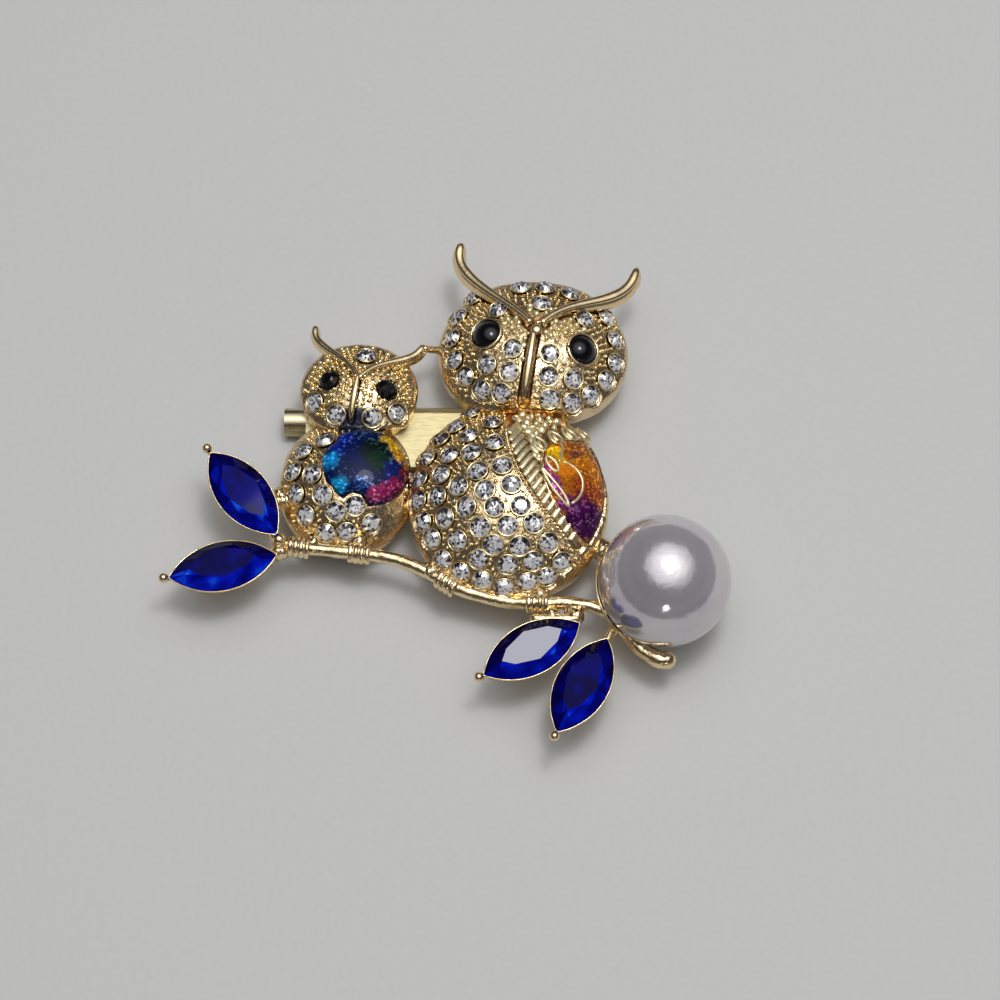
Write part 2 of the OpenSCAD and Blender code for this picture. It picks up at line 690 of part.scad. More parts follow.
module large_wing_enamel() {
    color([0.75, 0.35, 0.05]) translate(-centre)
        enamel(large_body, large_enamel_rise, [0, 0, 0]) large_wing_outline(gap);
}

module small_wing_enamel() {
    color([0.03, 0.1, 0.4]) translate(-centre)
        enamel(small_body, small_enamel_rise, small_enamel_shift) small_wing_outline(gap);
}

frame();
back_plate();
pin_clasp();
pearl();
leaf_stone(0);  // leaf_stone_1
leaf_stone(1);  // leaf_stone_2
leaf_stone(2);  // leaf_stone_3
leaf_stone(3);  // leaf_stone_4
large_eye(0);  // large_eye_left
large_eye(1);  // large_eye_right
small_eye(0);  // small_eye_left
small_eye(1);  // small_eye_right
field(large_body, LARGE_BODY_RINGS);  // large_body_stones
field(large_head, LARGE_HEAD_RINGS);  // large_head_stones
field(small_body, SMALL_BODY_RINGS);  // small_body_stones
field(small_head, SMALL_HEAD_RINGS);  // small_head_stones
large_wing_enamel();
small_wing_enamel();
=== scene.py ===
# %% [markdown]
# # A brooch of two owls
# The brooch lies on its back: two owls cast in pale gold and paved with clear stones, on a branch with
# four blue leaves and a large pearl. The packed solids are the fixed frame, and every piece made here
# takes its place from them. Shapes are worked out in millimetres and turned into metres at the end.

# %% Load the frame
import math
from collections import namedtuple

import bmesh
import bpy
import numpy as np
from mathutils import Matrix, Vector


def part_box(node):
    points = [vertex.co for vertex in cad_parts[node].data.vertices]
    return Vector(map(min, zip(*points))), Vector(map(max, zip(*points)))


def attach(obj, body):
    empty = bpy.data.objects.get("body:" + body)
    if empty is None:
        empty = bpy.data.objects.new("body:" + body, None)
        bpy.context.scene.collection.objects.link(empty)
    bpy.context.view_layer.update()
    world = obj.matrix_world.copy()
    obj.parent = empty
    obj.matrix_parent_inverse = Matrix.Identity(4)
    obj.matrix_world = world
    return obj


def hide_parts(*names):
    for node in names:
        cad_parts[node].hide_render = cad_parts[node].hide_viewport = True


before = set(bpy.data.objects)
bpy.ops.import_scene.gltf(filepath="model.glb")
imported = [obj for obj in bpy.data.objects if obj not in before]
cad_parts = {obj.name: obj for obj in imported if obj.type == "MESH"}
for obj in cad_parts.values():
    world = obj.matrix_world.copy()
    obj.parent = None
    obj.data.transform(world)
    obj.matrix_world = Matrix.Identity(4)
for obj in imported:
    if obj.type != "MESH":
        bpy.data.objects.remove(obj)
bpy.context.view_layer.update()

MM = 0.001
SIDES = ("left", "right")

# %% [markdown]
# ## The layout
# Each owl is two domes, a body and a head. A dome is a cap of a sphere over an outline, and its stones,
# eyes and feathers stand along the sphere's own radii. The domes are the same as in the solids, and the
# pearl's box ties their layout to the frame.

# %% Domes and their places
class Dome(namedtuple("Dome", "middle half_w half_h curve top")):
    @property
    def centre(self):
        return np.array([*self.middle, self.top - self.curve])

    def on(self, flat, lift=0.0):
        """Points of the dome above flat places that are measured from its middle"""
        flat = np.atleast_2d(flat)
        up = np.sqrt(np.clip(self.curve ** 2 - (flat ** 2).sum(1), 0.01, None))
        return self.centre + np.column_stack([flat, up]) * (self.curve + lift) / self.curve


def box_mm(node):
    return [np.array(corner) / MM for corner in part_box(node)]


BACK_Z = 4.0
pearl_low, pearl_high = box_mm("pearl")
PEARL_R = (pearl_high - pearl_low)[0] / 2
PEARL_AT = np.array([*((pearl_low + pearl_high) / 2)[:2], pearl_high[2] - PEARL_R])
PEARL_OFF, PEARL_ANGLE = 19.38, math.radians(-32.7)
BODY_AT = PEARL_AT[:2] - PEARL_OFF * np.array([math.cos(PEARL_ANGLE), math.sin(PEARL_ANGLE)])

LARGE_R, SMALL_R = 10.6, 7.2
LARGE_BODY = Dome(BODY_AT, LARGE_R, LARGE_R, 14.0, 10.8)
LARGE_HEAD = Dome(BODY_AT + [2.7, 17.3], 10.4, 7.9, 13.0, 10.4)
SMALL_BODY = Dome(BODY_AT + [-17.5, 2.2], SMALL_R, SMALL_R, 9.0, 8.4)
SMALL_HEAD = Dome(SMALL_BODY.middle + [1.1, 10.5], 6.4, 5.2, 8.2, 8.6)
print("large body's middle in mm:", LARGE_BODY.middle.round(2))

# %% [markdown]
# ## Where the stones sit
# The solids already hold every stone at its place. Each loose part of a field is one stone, and the line
# from the dome's centre through it is the stone's own axis, so no list of places is needed here.

# %% Read the stones' axes from the solids
def loose_parts(node):
    """The middles of a solid's separate parts"""
    work = bmesh.new()
    work.from_mesh(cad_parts[node].data)
    bmesh.ops.remove_doubles(work, verts=work.verts, dist=0.001 * MM)
    left, middles = dict.fromkeys(work.verts), []
    while left:
        part, edge = [], [left.popitem()[0]]
        while edge:
            vert = edge.pop()
            part.append(vert.co)
            for other in [link.other_vert(vert) for link in vert.link_edges]:
                if other in left:
                    del left[other]
                    edge.append(other)
        middles.append(sum(part, Vector()) / len(part) / MM)
    work.free()
    return np.array(middles)


def stone_spots(node, dome):
    """Points of the dome under its stones, and the stones' axes"""
    away = loose_parts(node) - dome.centre
    away = away[np.lexsort((away[:, 0].round(3), away[:, 1].round(3)))]
    axes = away / np.linalg.norm(away, axis=1)[:, None]
    return dome.centre + axes * dome.curve, axes


FIELDS = {"large_body_stones": LARGE_BODY, "large_head_stones": LARGE_HEAD,
          "small_body_stones": SMALL_BODY, "small_head_stones": SMALL_HEAD}
SPOTS = {node: stone_spots(node, dome) for node, dome in FIELDS.items()}
print("stones:", {node: len(found[0]) for node, found in SPOTS.items()})

# %% [markdown]
# ## Finishes as expressions
# A finish is a small sum: so much gold, a little darker in the recesses. `Wire` wraps a socket so that
# such sums can be written as Python, and `Graph.add` makes every other node from its type, its sockets
# and its settings. The same helper builds the shader trees and the Geometry Nodes trees.

# %% A graph helper
class Wire:
    def __init__(self, graph, socket):
        self.graph, self.socket = graph, socket

    def maths(self, operation, *values):
        return self.graph.add("ShaderNodeMath", dict(enumerate(values)), operation=operation)

    def __add__(self, other):
        return self.maths("ADD", self, other)

    def __sub__(self, other):
        return self.maths("SUBTRACT", self, other)

    def __rsub__(self, other):
        return self.maths("SUBTRACT", other, self)

    def __mul__(self, other):
        return self.maths("MULTIPLY", self, other)

    __radd__ = __add__

    def above(self, level):
        return self.maths("GREATER_THAN", self, level)

    def between(self, low, high):
        """0 below low, 1 above high and smooth between them"""
        return self.graph.add("ShaderNodeMapRange", {"Value": self, "From Min": low, "From Max": high},
                              interpolation_type="SMOOTHSTEP")


class Graph:
    def __init__(self, tree):
        self.tree = tree

    def add(self, kind, sockets=None, out=0, stops=(), **settings):
        node = self.tree.nodes.new(kind)
        for name, value in settings.items():
            setattr(node, name, value)
        if stops:
            self.set_stops(node.color_ramp, stops)
        self.feed(node, sockets or {})
        return Wire(self, node.outputs[out])

    def vector(self, operation, *values, out=0):
        return self.add("ShaderNodeVectorMath", dict(enumerate(values)), out, operation=operation)

    def feed(self, node, sockets):
        for name, value in sockets.items():
            if isinstance(value, Wire):
                self.tree.links.new(value.socket, node.inputs[name])
            else:
                node.inputs[name].default_value = value

    @staticmethod
    def set_stops(ramp, stops):
        while len(ramp.elements) < len(stops):
            ramp.elements.new(1.0)
        for element, (place, colour) in zip(ramp.elements, stops):
            element.position = place
            element.color = (*colour, 1.0)


print("a wire knows:", [name for name in vars(Wire) if not name.startswith("_")])

# %% A material helper
class Paint(Graph):
    def __init__(self, name):
        self.material = bpy.data.materials.new(name)
        self.material.use_nodes = True
        super().__init__(self.material.node_tree)
        self.surface = self.tree.nodes["Principled BSDF"]

    def place(self):
        return self.add("ShaderNodeTexCoord", out="Object")

    def noise(self, scale, detail=2.0, place=None, out=0):
        """Noise with features of 1 / scale metres"""
        sockets = {"Vector": place or self.place(), "Scale": scale, "Detail": detail}
        return self.add("ShaderNodeTexNoise", sockets, out)

    def attribute(self, name):
        return self.add("ShaderNodeAttribute", out="Fac", attribute_name=name)

    def mix(self, first, second, share, blend="MIX"):
        sockets = {0: share}
        for key, colour in ((6, first), (7, second)):
            sockets[key] = colour if isinstance(colour, Wire) else (*colour, 1.0)
        return self.add("ShaderNodeMix", sockets, 2, data_type="RGBA", blend_type=blend)

    def bump(self, height, strength, depth):
        return self.add("ShaderNodeBump", {"Height": height, "Strength": strength, "Distance": depth})

    def finish(self, **sockets):
        self.feed(self.surface, {name.replace("_", " "): value for name, value in sockets.items()})
        return self.material


print("a paint knows:", [name for name in vars(Paint) if not name.startswith("_")])

# %% [markdown]
# ## The gold
# The casting is pale champagne gold where it is polished, warmed in patches by uneven wear. Between the
# stones it is painted warm brown and then nearly black: painted shade for the low ground. The meshes
# carry an attribute named recess that is 1 in those places, so one rule makes all the gold finishes,
# each with its own unevenness. Two more attributes colour the lacquer that has run onto the casting:
# amber at the large owl's neck, navy at the small one's chin.

# %% Gold finishes
# The third colour is painted shade for the recesses between the stones; the warm one serves both wear and
# painted shade
PALE_GOLD, WARM_GOLD, DEEP_SHADE_GOLD = (0.89, 0.70, 0.41), (0.68, 0.49, 0.31), (0.12, 0.065, 0.03)
AMBER_LACQUER, NAVY_LACQUER = (0.62, 0.30, 0.06), (0.001, 0.002, 0.02)


def gold_finish(name, pale, polish, dent=2600.0, depth=0.00005):
    paint = Paint(name)
    recess, amber, navy = (paint.attribute(mark) for mark in ("recess", "amber", "navy"))
    patches, fine = paint.noise(600.0), paint.noise(1800.0)
    # Noise gives patches of wear; the recess mark adds painted shade between the stones, warm brown and then
    # near black
    wear_and_shade = (recess * 1.4 + fine * 0.6 + patches * 0.3 - 0.3).between(0.0, 1.0)
    shade = paint.mix(pale, WARM_GOLD, wear_and_shade)
    shade = paint.mix(shade, DEEP_SHADE_GOLD, recess.between(0.35, 0.9))
    shade = paint.mix(shade, AMBER_LACQUER, amber * fine.between(0.35, 0.55))
    shade = paint.mix(shade, NAVY_LACQUER, navy)
    return paint.finish(Base_Color=shade, Metallic=1 - navy,
                        Roughness=polish + recess * 0.2 + patches * 0.06,
                        Normal=paint.bump(paint.noise(dent, 3.0), 0.3, depth))


GOLD = gold_finish("cast_gold", PALE_GOLD, 0.15)
GRAIN_GOLD = gold_finish("grain_gold", (0.97, 0.82, 0.46), 0.2)
SATIN = gold_finish("satin_gold", (0.99, 0.88, 0.57), 0.4, 1700.0, 0.0002)
GROUND = gold_finish("ground_gold", (0.83, 0.64, 0.37), 0.15, 1700.0, 0.0005)
HAMMERED = gold_finish("hammered_gold", PALE_GOLD, 0.14, 900.0, 0.0007)


def brushed_finish():
    """Brushed brass, smoother where the plate's top edge is rolled into a tube"""
    paint = Paint("brushed_gold")
    place = paint.place()
    over = paint.add("ShaderNodeSeparateXYZ", {0: place}, "Y").above((BODY_AT[1] + 9.5) * MM)
    right = paint.add("ShaderNodeSeparateXYZ", {0: place}, "X").above((BODY_AT[0] - 16) * MM)
    tube = over * (1 - right)
    stretched = paint.add("ShaderNodeMapping", {"Vector": place, "Scale": (1.0, 14.0, 14.0)})
    lines = paint.noise(900.0, 3.0, stretched)
    shade = paint.mix((0.50, 0.42, 0.22), (0.66, 0.58, 0.34), lines.between(0.3, 0.7))
    shade = paint.mix(shade, (0.66, 0.57, 0.38), tube)
    return paint.finish(Base_Color=shade, Metallic=1.0, Roughness=0.34 + lines * 0.15 - tube * 0.22,
                        Normal=paint.bump(lines, 0.3, 0.00004))


BRUSHED = brushed_finish()
print("gold finishes:", [made.name for made in (GOLD, GRAIN_GOLD, SATIN, GROUND, HAMMERED, BRUSHED)])

# %% [markdown]
# ## From numbers to pieces
# `piece` turns points and faces into an object whose place is in its mesh, and declares what it stands
# for. Normals are recalculated once, on the closed mesh. Numbers given by name become attributes that the
# materials read.

# %% The piece helper
def new_thing(name, data):
    thing = bpy.data.objects.new(name, data)
    bpy.context.scene.collection.objects.link(thing)
    return thing


def new_mesh(name, points, faces=(), smooth=True):
    mesh = bpy.data.meshes.new(name)
    mesh.from_pydata((np.asarray(points) * MM).tolist(), [], faces)
    if smooth:
        mesh.shade_smooth()
    else:
        mesh.shade_flat()
    return mesh


def set_marks(mesh, marks, domain="POINT"):
    """Stores numbers or vectors by name, one for each point or face"""
    for mark, values in marks.items():
        values = np.asarray(values, np.float32)
        kind, field = ("FLOAT", "value") if values.ndim == 1 else ("FLOAT_VECTOR", "vector")
        mesh.attributes.new(mark, kind, domain).data.foreach_set(field, values.ravel())


def declare(thing, stands_for):
    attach(thing, "root")
    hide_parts(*stands_for)
    return thing


def piece(name, shape, material, stands_for=("frame",), smooth=True, marks=None):
    mesh = new_mesh(name, *shape, smooth)
    work = bmesh.new()
    work.from_mesh(mesh)
    bmesh.ops.recalc_face_normals(work, faces=work.faces)
    work.to_mesh(mesh)
    work.free()
    set_marks(mesh, marks or {})
    mesh.materials.append(material)
    return declare(new_thing(name, mesh), stands_for)


def loft(rings):
    """Rings of equally many points joined one after another, with both ends closed"""
    count = len(rings[0])
    last = (len(rings) - 1) * count
    faces = []
    for low in range(0, last, count):
        for i in range(count):
            n = (i + 1) % count
            faces.append((low + i, low + n, low + count + n, low + count + i))
    faces += [tuple(range(count - 1, -1, -1)), tuple(range(last, last + count))]
    return np.concatenate(rings), faces


def joined(parts):
    """One list of points and faces from several"""
    points, faces, start = [], [], 0
    for own_points, own_faces in parts:
        points.append(own_points)
        faces += [tuple(start + i for i in face) for face in own_faces]
        start += len(own_points)
    return np.concatenate(points), faces


print("a loft of 2 rings of 4 points has", len(loft([np.zeros((4, 3))] * 2)[1]), "faces")

# %% [markdown]
# ## Turned and swept shapes
# Balls, cups, eyes and posts are turned about an axis. Horns, beaks, stalks and the branch are swept
# along a path, with a half width and a half height at each point. A ridge share draws the upper half of
# the section in, as on the horns, whose bright top line is narrower than their foot.

# %% Lathe and sweep
def around(count, closed=False):
    """Angles of a full turn, with the first again at the end of a closed one"""
    return np.linspace(0, 2 * math.pi, count, endpoint=closed)


def rays(angles):
    return np.column_stack([np.cos(angles), np.sin(angles)])


def tilt(degrees):
    """The plane's two directions, turned"""
    turn = math.radians(degrees)
    return np.array([[math.cos(turn), math.sin(turn)], [-math.sin(turn), math.cos(turn)]])


def turned(profile, at, axis=(0, 0, 1), sides=32):
    """A profile of (radius, height) turned about an axis that starts at a point"""
    axis = np.asarray(axis, float) / np.linalg.norm(axis)
    side = np.cross([0.3, 1.0, 0.1], axis)
    side /= np.linalg.norm(side)
    ring = rays(around(sides)) @ [side, np.cross(axis, side)]
    return loft([np.asarray(at) + max(r, 0.001) * ring + h * axis for r, h in profile])


def arc(middle, radius, start, end, count):
    """(radius, height) points of a turned ball's outline, angles from the foot in degrees"""
    turn = np.radians(np.linspace(start, end, count))
    return [(radius * math.sin(a), middle - radius * math.cos(a)) for a in turn]


def swept(path, half_w, half_h=None, sides=20, ridge=0.0):
    """A section drawn along a path; each half size is one number or one for each point"""
    path = np.asarray(path, float)
    wide = np.broadcast_to(half_w, len(path))
    high = wide if half_h is None else np.broadcast_to(half_h, len(path))
    turn, rings = around(sides), []
    across = np.cos(turn) * (1 - ridge * np.clip(np.sin(turn), 0, 1))
    for k, at in enumerate(path):
        along = path[min(k + 1, len(path) - 1)] - path[max(k - 1, 0)]
        side = np.cross([0, 0, 1.0], along)
        side /= np.linalg.norm(side)
        up = np.cross(along, side) / np.linalg.norm(along)
        rings.append(at + np.outer(across * wide[k], side) + np.outer(np.sin(turn) * high[k], up))
    return loft(rings)


def bezier(controls, count):
    """A cubic curve's points at even steps"""
    controls, t = np.asarray(controls, float), np.linspace(0, 1, count)[:, None]
    return ((1 - t) ** 3 * controls[0] + 3 * t * (1 - t) ** 2 * controls[1]
            + 3 * t * t * (1 - t) * controls[2] + t ** 3 * controls[3])


print("a ball's outline:", len(arc(0, 1, 0, 180, 9)), "points")

# %% [markdown]
# ## Castings as relief
# A cast body is a dome with fine relief: cups for the stones, feathers, cells and beds. A plain grid is
# folded onto the disk so that its cells stay even, stretched to the outline, laid on the dome, and then
# each point is moved along the dome's radius by the relief. A tenth of a millimetre between points is
# about a pixel of the picture. The side wall and the flat back close the piece.

# %% The casting's grid
def disk_grid(cells):
    """A grid folded onto the disk, with each point's distance and direction"""
    line = np.linspace(-1, 1, cells + 1)
    a, b = (x.ravel() for x in np.meshgrid(line, line))
    wide = np.abs(a) >= np.abs(b)
    reach = np.where(wide, a, b)
    safe = np.where(reach == 0, 1, reach)
    turn = np.where(wide, math.pi / 4 * b / safe, math.pi / 2 - math.pi / 4 * a / safe)
    disk = reach[:, None] * rays(turn)
    return disk, np.hypot(disk[:, 0], disk[:, 1]), np.arctan2(disk[:, 1], disk[:, 0])


def far_edge(circles, angle):
    """How far a ray from the middle runs before it leaves the last of some circles"""
    reach = np.zeros(len(angle))
    for middle, radius in circles:
        along = rays(angle) @ np.asarray(middle, float)
        room = radius ** 2 - np.dot(middle, middle) + along ** 2
        reach = np.maximum(reach, np.where(room > 0, along + np.sqrt(np.clip(room, 0, None)), 0))
    return reach


def grid_faces(cells):
    row = cells + 1
    low = (np.arange(cells)[:, None] * row + np.arange(cells)).ravel()
    return np.column_stack([low, low + 1, low + row + 1, low + row]).tolist()


def grid_rim(cells):
    row, side = cells + 1, np.arange(cells)
    return np.concatenate([side, side * row + cells, cells * row + cells - side, (cells - side) * row])


def wall_faces(upper, lower):
    return np.column_stack([upper, lower, np.roll(lower, -1), np.roll(upper, -1)]).tolist()


print("a grid of 4 cells has", len(grid_rim(4)), "rim points")

# %% Relief helpers
def smooth(x, low, high):
    t = np.clip((x - low) / (high - low), 0, 1)
    return t * t * (3 - 2 * t)


def hump(distance, width):
    """The height of a round wire of that half width, as a share"""
    return np.sqrt(np.clip(1 - (distance / width) ** 2, 0, None))


def length(points):
    return np.linalg.norm(points, axis=1)


def nearest(points, spots):
    return np.sqrt(np.min([((points - spot) ** 2).sum(1) for spot in spots], axis=0))


def to_line(points, line):
    """Distance from points to a line of several straight pieces"""
    best = np.full(len(points), 1e9)
    for a, b in zip(line[:-1], line[1:]):
        share = np.clip(((points - a) @ (b - a)) / max((b - a) @ (b - a), 1e-9), 0, 1)
        best = np.minimum(best, length(points - a - share[:, None] * (b - a)))
    return best


# The seats' radius and floor, the rims' radius and half width, and the ground between the stones
SEAT_R, SEAT_FLOOR, RIM_AT, RIM_HALF, BETWEEN = 1.06, -0.72, 1.1, 0.09, -0.22
# The edge's rounding, its depth, the lobe round a stone at the edge, and the edge that stays bare of grains
ROUND_EDGE, EDGE_DROP, LOBE, BARE_EDGE = 0.5, 0.8, 0.14, 0.7
# How far down the side wall each of its loops lies
WALL_LEVELS = (0.2, 0.45, 0.7, 0.9, 1.0)


def pave(near):
    """Cups for the stones, and the low ground between them"""
    return np.where(near < SEAT_R, SEAT_FLOOR, BETWEEN)


print("relief at a stone and between stones:", pave(np.array([0.5, 1.6])))

# %% The casting itself
def casting(name, dome, circles, relief, cells):
    spots = SPOTS[name + "_stones"][0]
    disk, share, angle = disk_grid(cells)
    edge = far_edge(circles + [(spot - dome.middle, SEAT_R + LOBE) for spot in spots[:, :2]], angle)
    flat = disk * edge[:, None]
    top = dome.on(flat)
    height, masks = relief(flat, nearest(top, spots))
    inward = (1 - share) * edge
    rounding = hump(ROUND_EDGE - np.clip(inward, 0, ROUND_EDGE), ROUND_EDGE)
    height = height - ROUND_EDGE * (1 - rounding) * EDGE_DROP
    shell = top + (top - dome.centre) / dome.curve * height[:, None]
    rim = grid_rim(cells)
    # The relief pulls the rim inwards, so it is pushed back out to the outline
    order = rim[np.argsort(angle[rim])]
    lost = edge[order] - length(shell[order, :2] - dome.middle)
    push = np.interp(angle, angle[order], lost, period=2 * math.pi) * smooth(share, 0.8, 1)
    shell[:, :2] += push[:, None] * rays(angle)
    plain_edge = np.minimum(edge, far_edge(circles, angle) + 0.02)[rim]
    start, foot = shell[rim], dome.middle + plain_edge[:, None] * rays(angle[rim])
    rings = [np.column_stack([start[:, :2] + (foot - start[:, :2]) * smooth(level, 0.1, 0.6),
                              start[:, 2] + (BACK_Z - start[:, 2]) * level]) for level in WALL_LEVELS]
    count = len(rim)
    loops = [rim] + [len(shell) + r * count + np.arange(count) for r in range(len(rings))]
    faces = grid_faces(cells)
    for upper, lower in zip(loops[:-1], loops[1:]):
        faces += wall_faces(upper, lower)
    faces.append(loops[-1][::-1].tolist())
    # The recess mark is where the gold gets its painted shade
    masks["recess"] = smooth(-height, 0.1, 0.6) * (inward > 0.2)
    for mark in ("grain", "nugget"):
        masks[mark] = masks.get(mark, np.zeros(len(flat))) * (inward > BARE_EDGE)
    wall = np.zeros(len(rings) * count)
    marks = {mark: np.concatenate([values, wall]) for mark, values in masks.items()}
    print(name, len(shell) + len(wall), "points")
    return piece(name, (np.concatenate([shell, *rings]), faces), GROUND, marks=marks)


def body_circles(dome):
    return [((0, -1.0), dome.half_w), ((0, 1.0), 0.95 * dome.half_w)]


def head_circles(dome):
    shift = dome.half_w - dome.half_h
    return [((-shift, 0), dome.half_h), ((shift, 0), dome.half_h), ((0, 0), dome.half_h + 0.15)]


# %% [markdown]
# ## The large body and its wing
# Clear stones cover the left of the body. A line of tiny beads borders the wing's low ground, where the
# barbs and cells of the next step stand, and the enamel's bed is sunk to their right. The wing's lines
# are curves in shares of the body's radius, the same as in the solids.

# %% The large body
BARB_LEFT = [[0, 0.556], [0.054, 0.058], [0.311, -0.27], [0.607, -0.552]]
BARB_RIGHT = [[0.094, 0.71], [0.19, 0.26], [0.415, -0.11], [0.665, -0.46]]
BARBS = 16
WING_CELLS = [((0.31, 0.422), -62), ((0.476, 0.538), -52), ((0.62, 0.64), -46), ((0.76, 0.715), -48)]
CELL_L, CELL_W = 1.0, 0.58
WING_CIRCLES = [(np.array([1.22, 0.2]), 0.86), (np.array([0.8, -0.075]), 0.63)]
ENAMEL_EDGE, BED = 0.45, -0.7
BEAD_R, BEAD_H, BEADS, BEAD_SHIFT = 0.24, 0.5, 30, [-0.28, 0]
# How far the nuggets keep from the enamel, the bars and the cells
ENAMEL_CLEAR, BAR_CLEAR, CELL_CLEAR = 0.45, 0.45, 0.95


def large_wing_inside(flat):
    """How far inside the large wing's enamel a place lies"""
    edges = [radius * LARGE_R - length(flat - middle * LARGE_R) for middle, radius in WING_CIRCLES]
    return np.min([LARGE_R - ENAMEL_EDGE - length(flat), *edges], axis=0)


def barb_ends():
    return list(zip(bezier(BARB_LEFT, BARBS) * LARGE_R, bezier(BARB_RIGHT, BARBS) * LARGE_R))


def cell_ends(cell, reach):
    middle, along = np.array(cell[0]) * LARGE_R, tilt(cell[1])[0]
    return middle - reach * along, middle + reach * along


def large_body_relief(flat, near):
    left = bezier(BARB_LEFT, 25) * LARGE_R
    row = np.argmin([((flat - p) ** 2).sum(1) for p in left], axis=0)
    way = np.gradient(left, axis=0)[row]
    offset = flat - left[row]
    side = way[:, 1] * offset[:, 0] - way[:, 0] * offset[:, 1]
    wing = smooth(-side / length(way), -0.1, 0.15)
    wing = np.where(flat[:, 1] > left[0, 1] + 0.3, smooth(flat[:, 0], -0.4, 0.2), wing)
    bars = np.min([to_line(flat, ends) for ends in barb_ends()], axis=0)
    cells = np.min([to_line(flat, cell_ends(cell, CELL_L - CELL_W)) for cell in WING_CELLS], axis=0)
    inside = large_wing_inside(flat)
    outer = LARGE_R - length(flat) < ENAMEL_EDGE + 0.12
    feathers = np.where(outer, -0.12, -0.42 + 0.5 * hump(inside + 0.2, 0.26))
    feathers = np.where(inside > 0, BED, feathers)
    beads = BEAD_H * hump(nearest(flat, bezier(BARB_LEFT, BEADS) * LARGE_R + BEAD_SHIFT), BEAD_R)
    height = np.maximum((1 - wing) * pave(near) + wing * feathers, beads - 0.4)
    height = np.where(near < SEAT_R, SEAT_FLOOR, height)
    free = (inside < -ENAMEL_CLEAR) * (bars > BAR_CLEAR) * (cells > CELL_CLEAR) * (beads <= 0) * ~outer
    shoulder = (wing > 0.9) * free * (flat[:, 1] > 0.1 * LARGE_R) * (flat[:, 0] > 0.05 * LARGE_R)
    return height, {"grain": (near > 1.3) * (wing < 0.05) * (beads <= 0), "nugget": shoulder,
                    "amber": smooth(flat[:, 1], 8.6, 9.4) * (flat[:, 0] > -1.2) * 0.6}


large_body = casting("large_body", LARGE_BODY, body_circles(LARGE_BODY), large_body_relief, 200)

# %% [markdown]
# ## Barbs and cells
# The barbs are crisp slanting bars with dark gaps. Bars of their own, swept along the dome, keep edges
# that a relief would blur. Pointed cells with a raised rim and a seed in the middle stand above the
# enamel, and a row of flat feathers lies between them and the barbs.

# %% Barbs and cells
FEATHERS = [((1.5, 7.9), (2.6, 6.6), 0.4), ((1.8, 6.6), (2.9, 5.3), 0.38), ((2.1, 5.4), (2.9, 4.3), 0.36),
            ((2.3, 4.3), (3.1, 3.2), 0.34), ((2.5, 3.3), (3.4, 2.3), 0.32), ((0.5, 8.6), (1.3, 7.9), 0.36)]


def bar_on(a, b, half_w, half_h, lift, ends=0.45):
    """A bar along the large body with drawn-in ends"""
    size = np.array([ends, 0.85, 1, 1, 1, 1, 1, 0.85, ends])
    return swept(LARGE_BODY.on(np.linspace(a, b, 9), lift), half_w * size, half_h * size, 12)


def cell_on(cell):
    turn = around(29, closed=True)
    oval = np.column_stack([CELL_L * np.cos(turn), CELL_W * np.sin(turn) * (1 - 0.3 * np.cos(turn) ** 2)])
    oval = np.array(cell[0]) * LARGE_R + oval @ tilt(cell[1])
    seed = bar_on(*cell_ends(cell, 0.55), 0.27, 0.2, -0.14)
    return [swept(LARGE_BODY.on(oval, -0.06), 0.19, 0.24, 10), seed]


bars = [bar_on(a, b, 0.33, 0.17, -0.1, 0.85) for a, b in barb_ends()]
bars += [bar_on(a, b, wide, 0.2, -0.12, 0.6) for a, b, wide in FEATHERS]
piece("barbs_and_cells", joined(bars + [part for cell in WING_CELLS for part in cell_on(cell)]), SATIN)
print("bars:", len(bars), "cells:", len(WING_CELLS))

# %% [markdown]
# ## The heads
# The face leans a little. Two grooves run beside the beak, low ground follows the brows, and a raised rim
# holds each of the large owl's domed eyes. Everything between the stones is covered in gold grains later.

# %% The heads' lines and relief
FACE_WAY = np.array([math.sin(math.radians(9)), math.cos(math.radians(9))])
BEAK = (0.05, -0.67)
EYE_R, EYE_RIM = 1.6, 0.3
LARGE_HORNS = [[[-0.03, 0.13, 0.97], [-0.3, 0.512, 0.80], [-0.951, 0.831, 0.44], [-0.749, 1.215, 0.62]],
               [[0.08, 0.12, 0.97], [0.43, 0.559, 0.80], [1.031, 0.39, 0.44], [1.114, 0.952, 0.54]]]
SMALL_HORNS = [[[-0.02, 0.03, 0.97], [-0.165, 0.588, 0.80], [-0.901, 0.742, 0.46], [-0.745, 1.192, 0.54]],
               [[0.03, 0.03, 0.97], [0.404, 0.532, 0.80], [0.948, 0.38, 0.46], [1.11, 0.824, 0.54]]]
# An eye's collar and seat as (radius, height), and how far the grains keep away
EyeBed = namedtuple("EyeBed", "collar seat clear")
LARGE_EYE_BED = EyeBed((EYE_R + EYE_RIM + 0.05, -0.1), (EYE_R, -0.6), EYE_R + 0.5)
SMALL_EYE_BED = EyeBed((1.4, BETWEEN), (1.12, SEAT_FLOOR), 1.3)
# The oval face that nuggets crowd: its squeeze, its middle below the head's, and its half height
FACE_SQUEEZE, FACE_DROP, FACE_R = 0.72, 0.6, 4.6


def eye_axis(node, dome):
    away = sum(box_mm(node)) / 2 - dome.centre
    return away / np.linalg.norm(away)


LARGE_EYES = [eye_axis(f"large_eye_{side}", LARGE_HEAD) for side in SIDES]
SMALL_EYES = [eye_axis(f"small_eye_{side}", SMALL_HEAD) for side in SIDES]


def horn_path(dome, controls, count):
    scale = [dome.half_w, dome.half_w, dome.top - BACK_Z]
    return bezier([*dome.middle, BACK_Z] + np.array(controls) * scale, count)


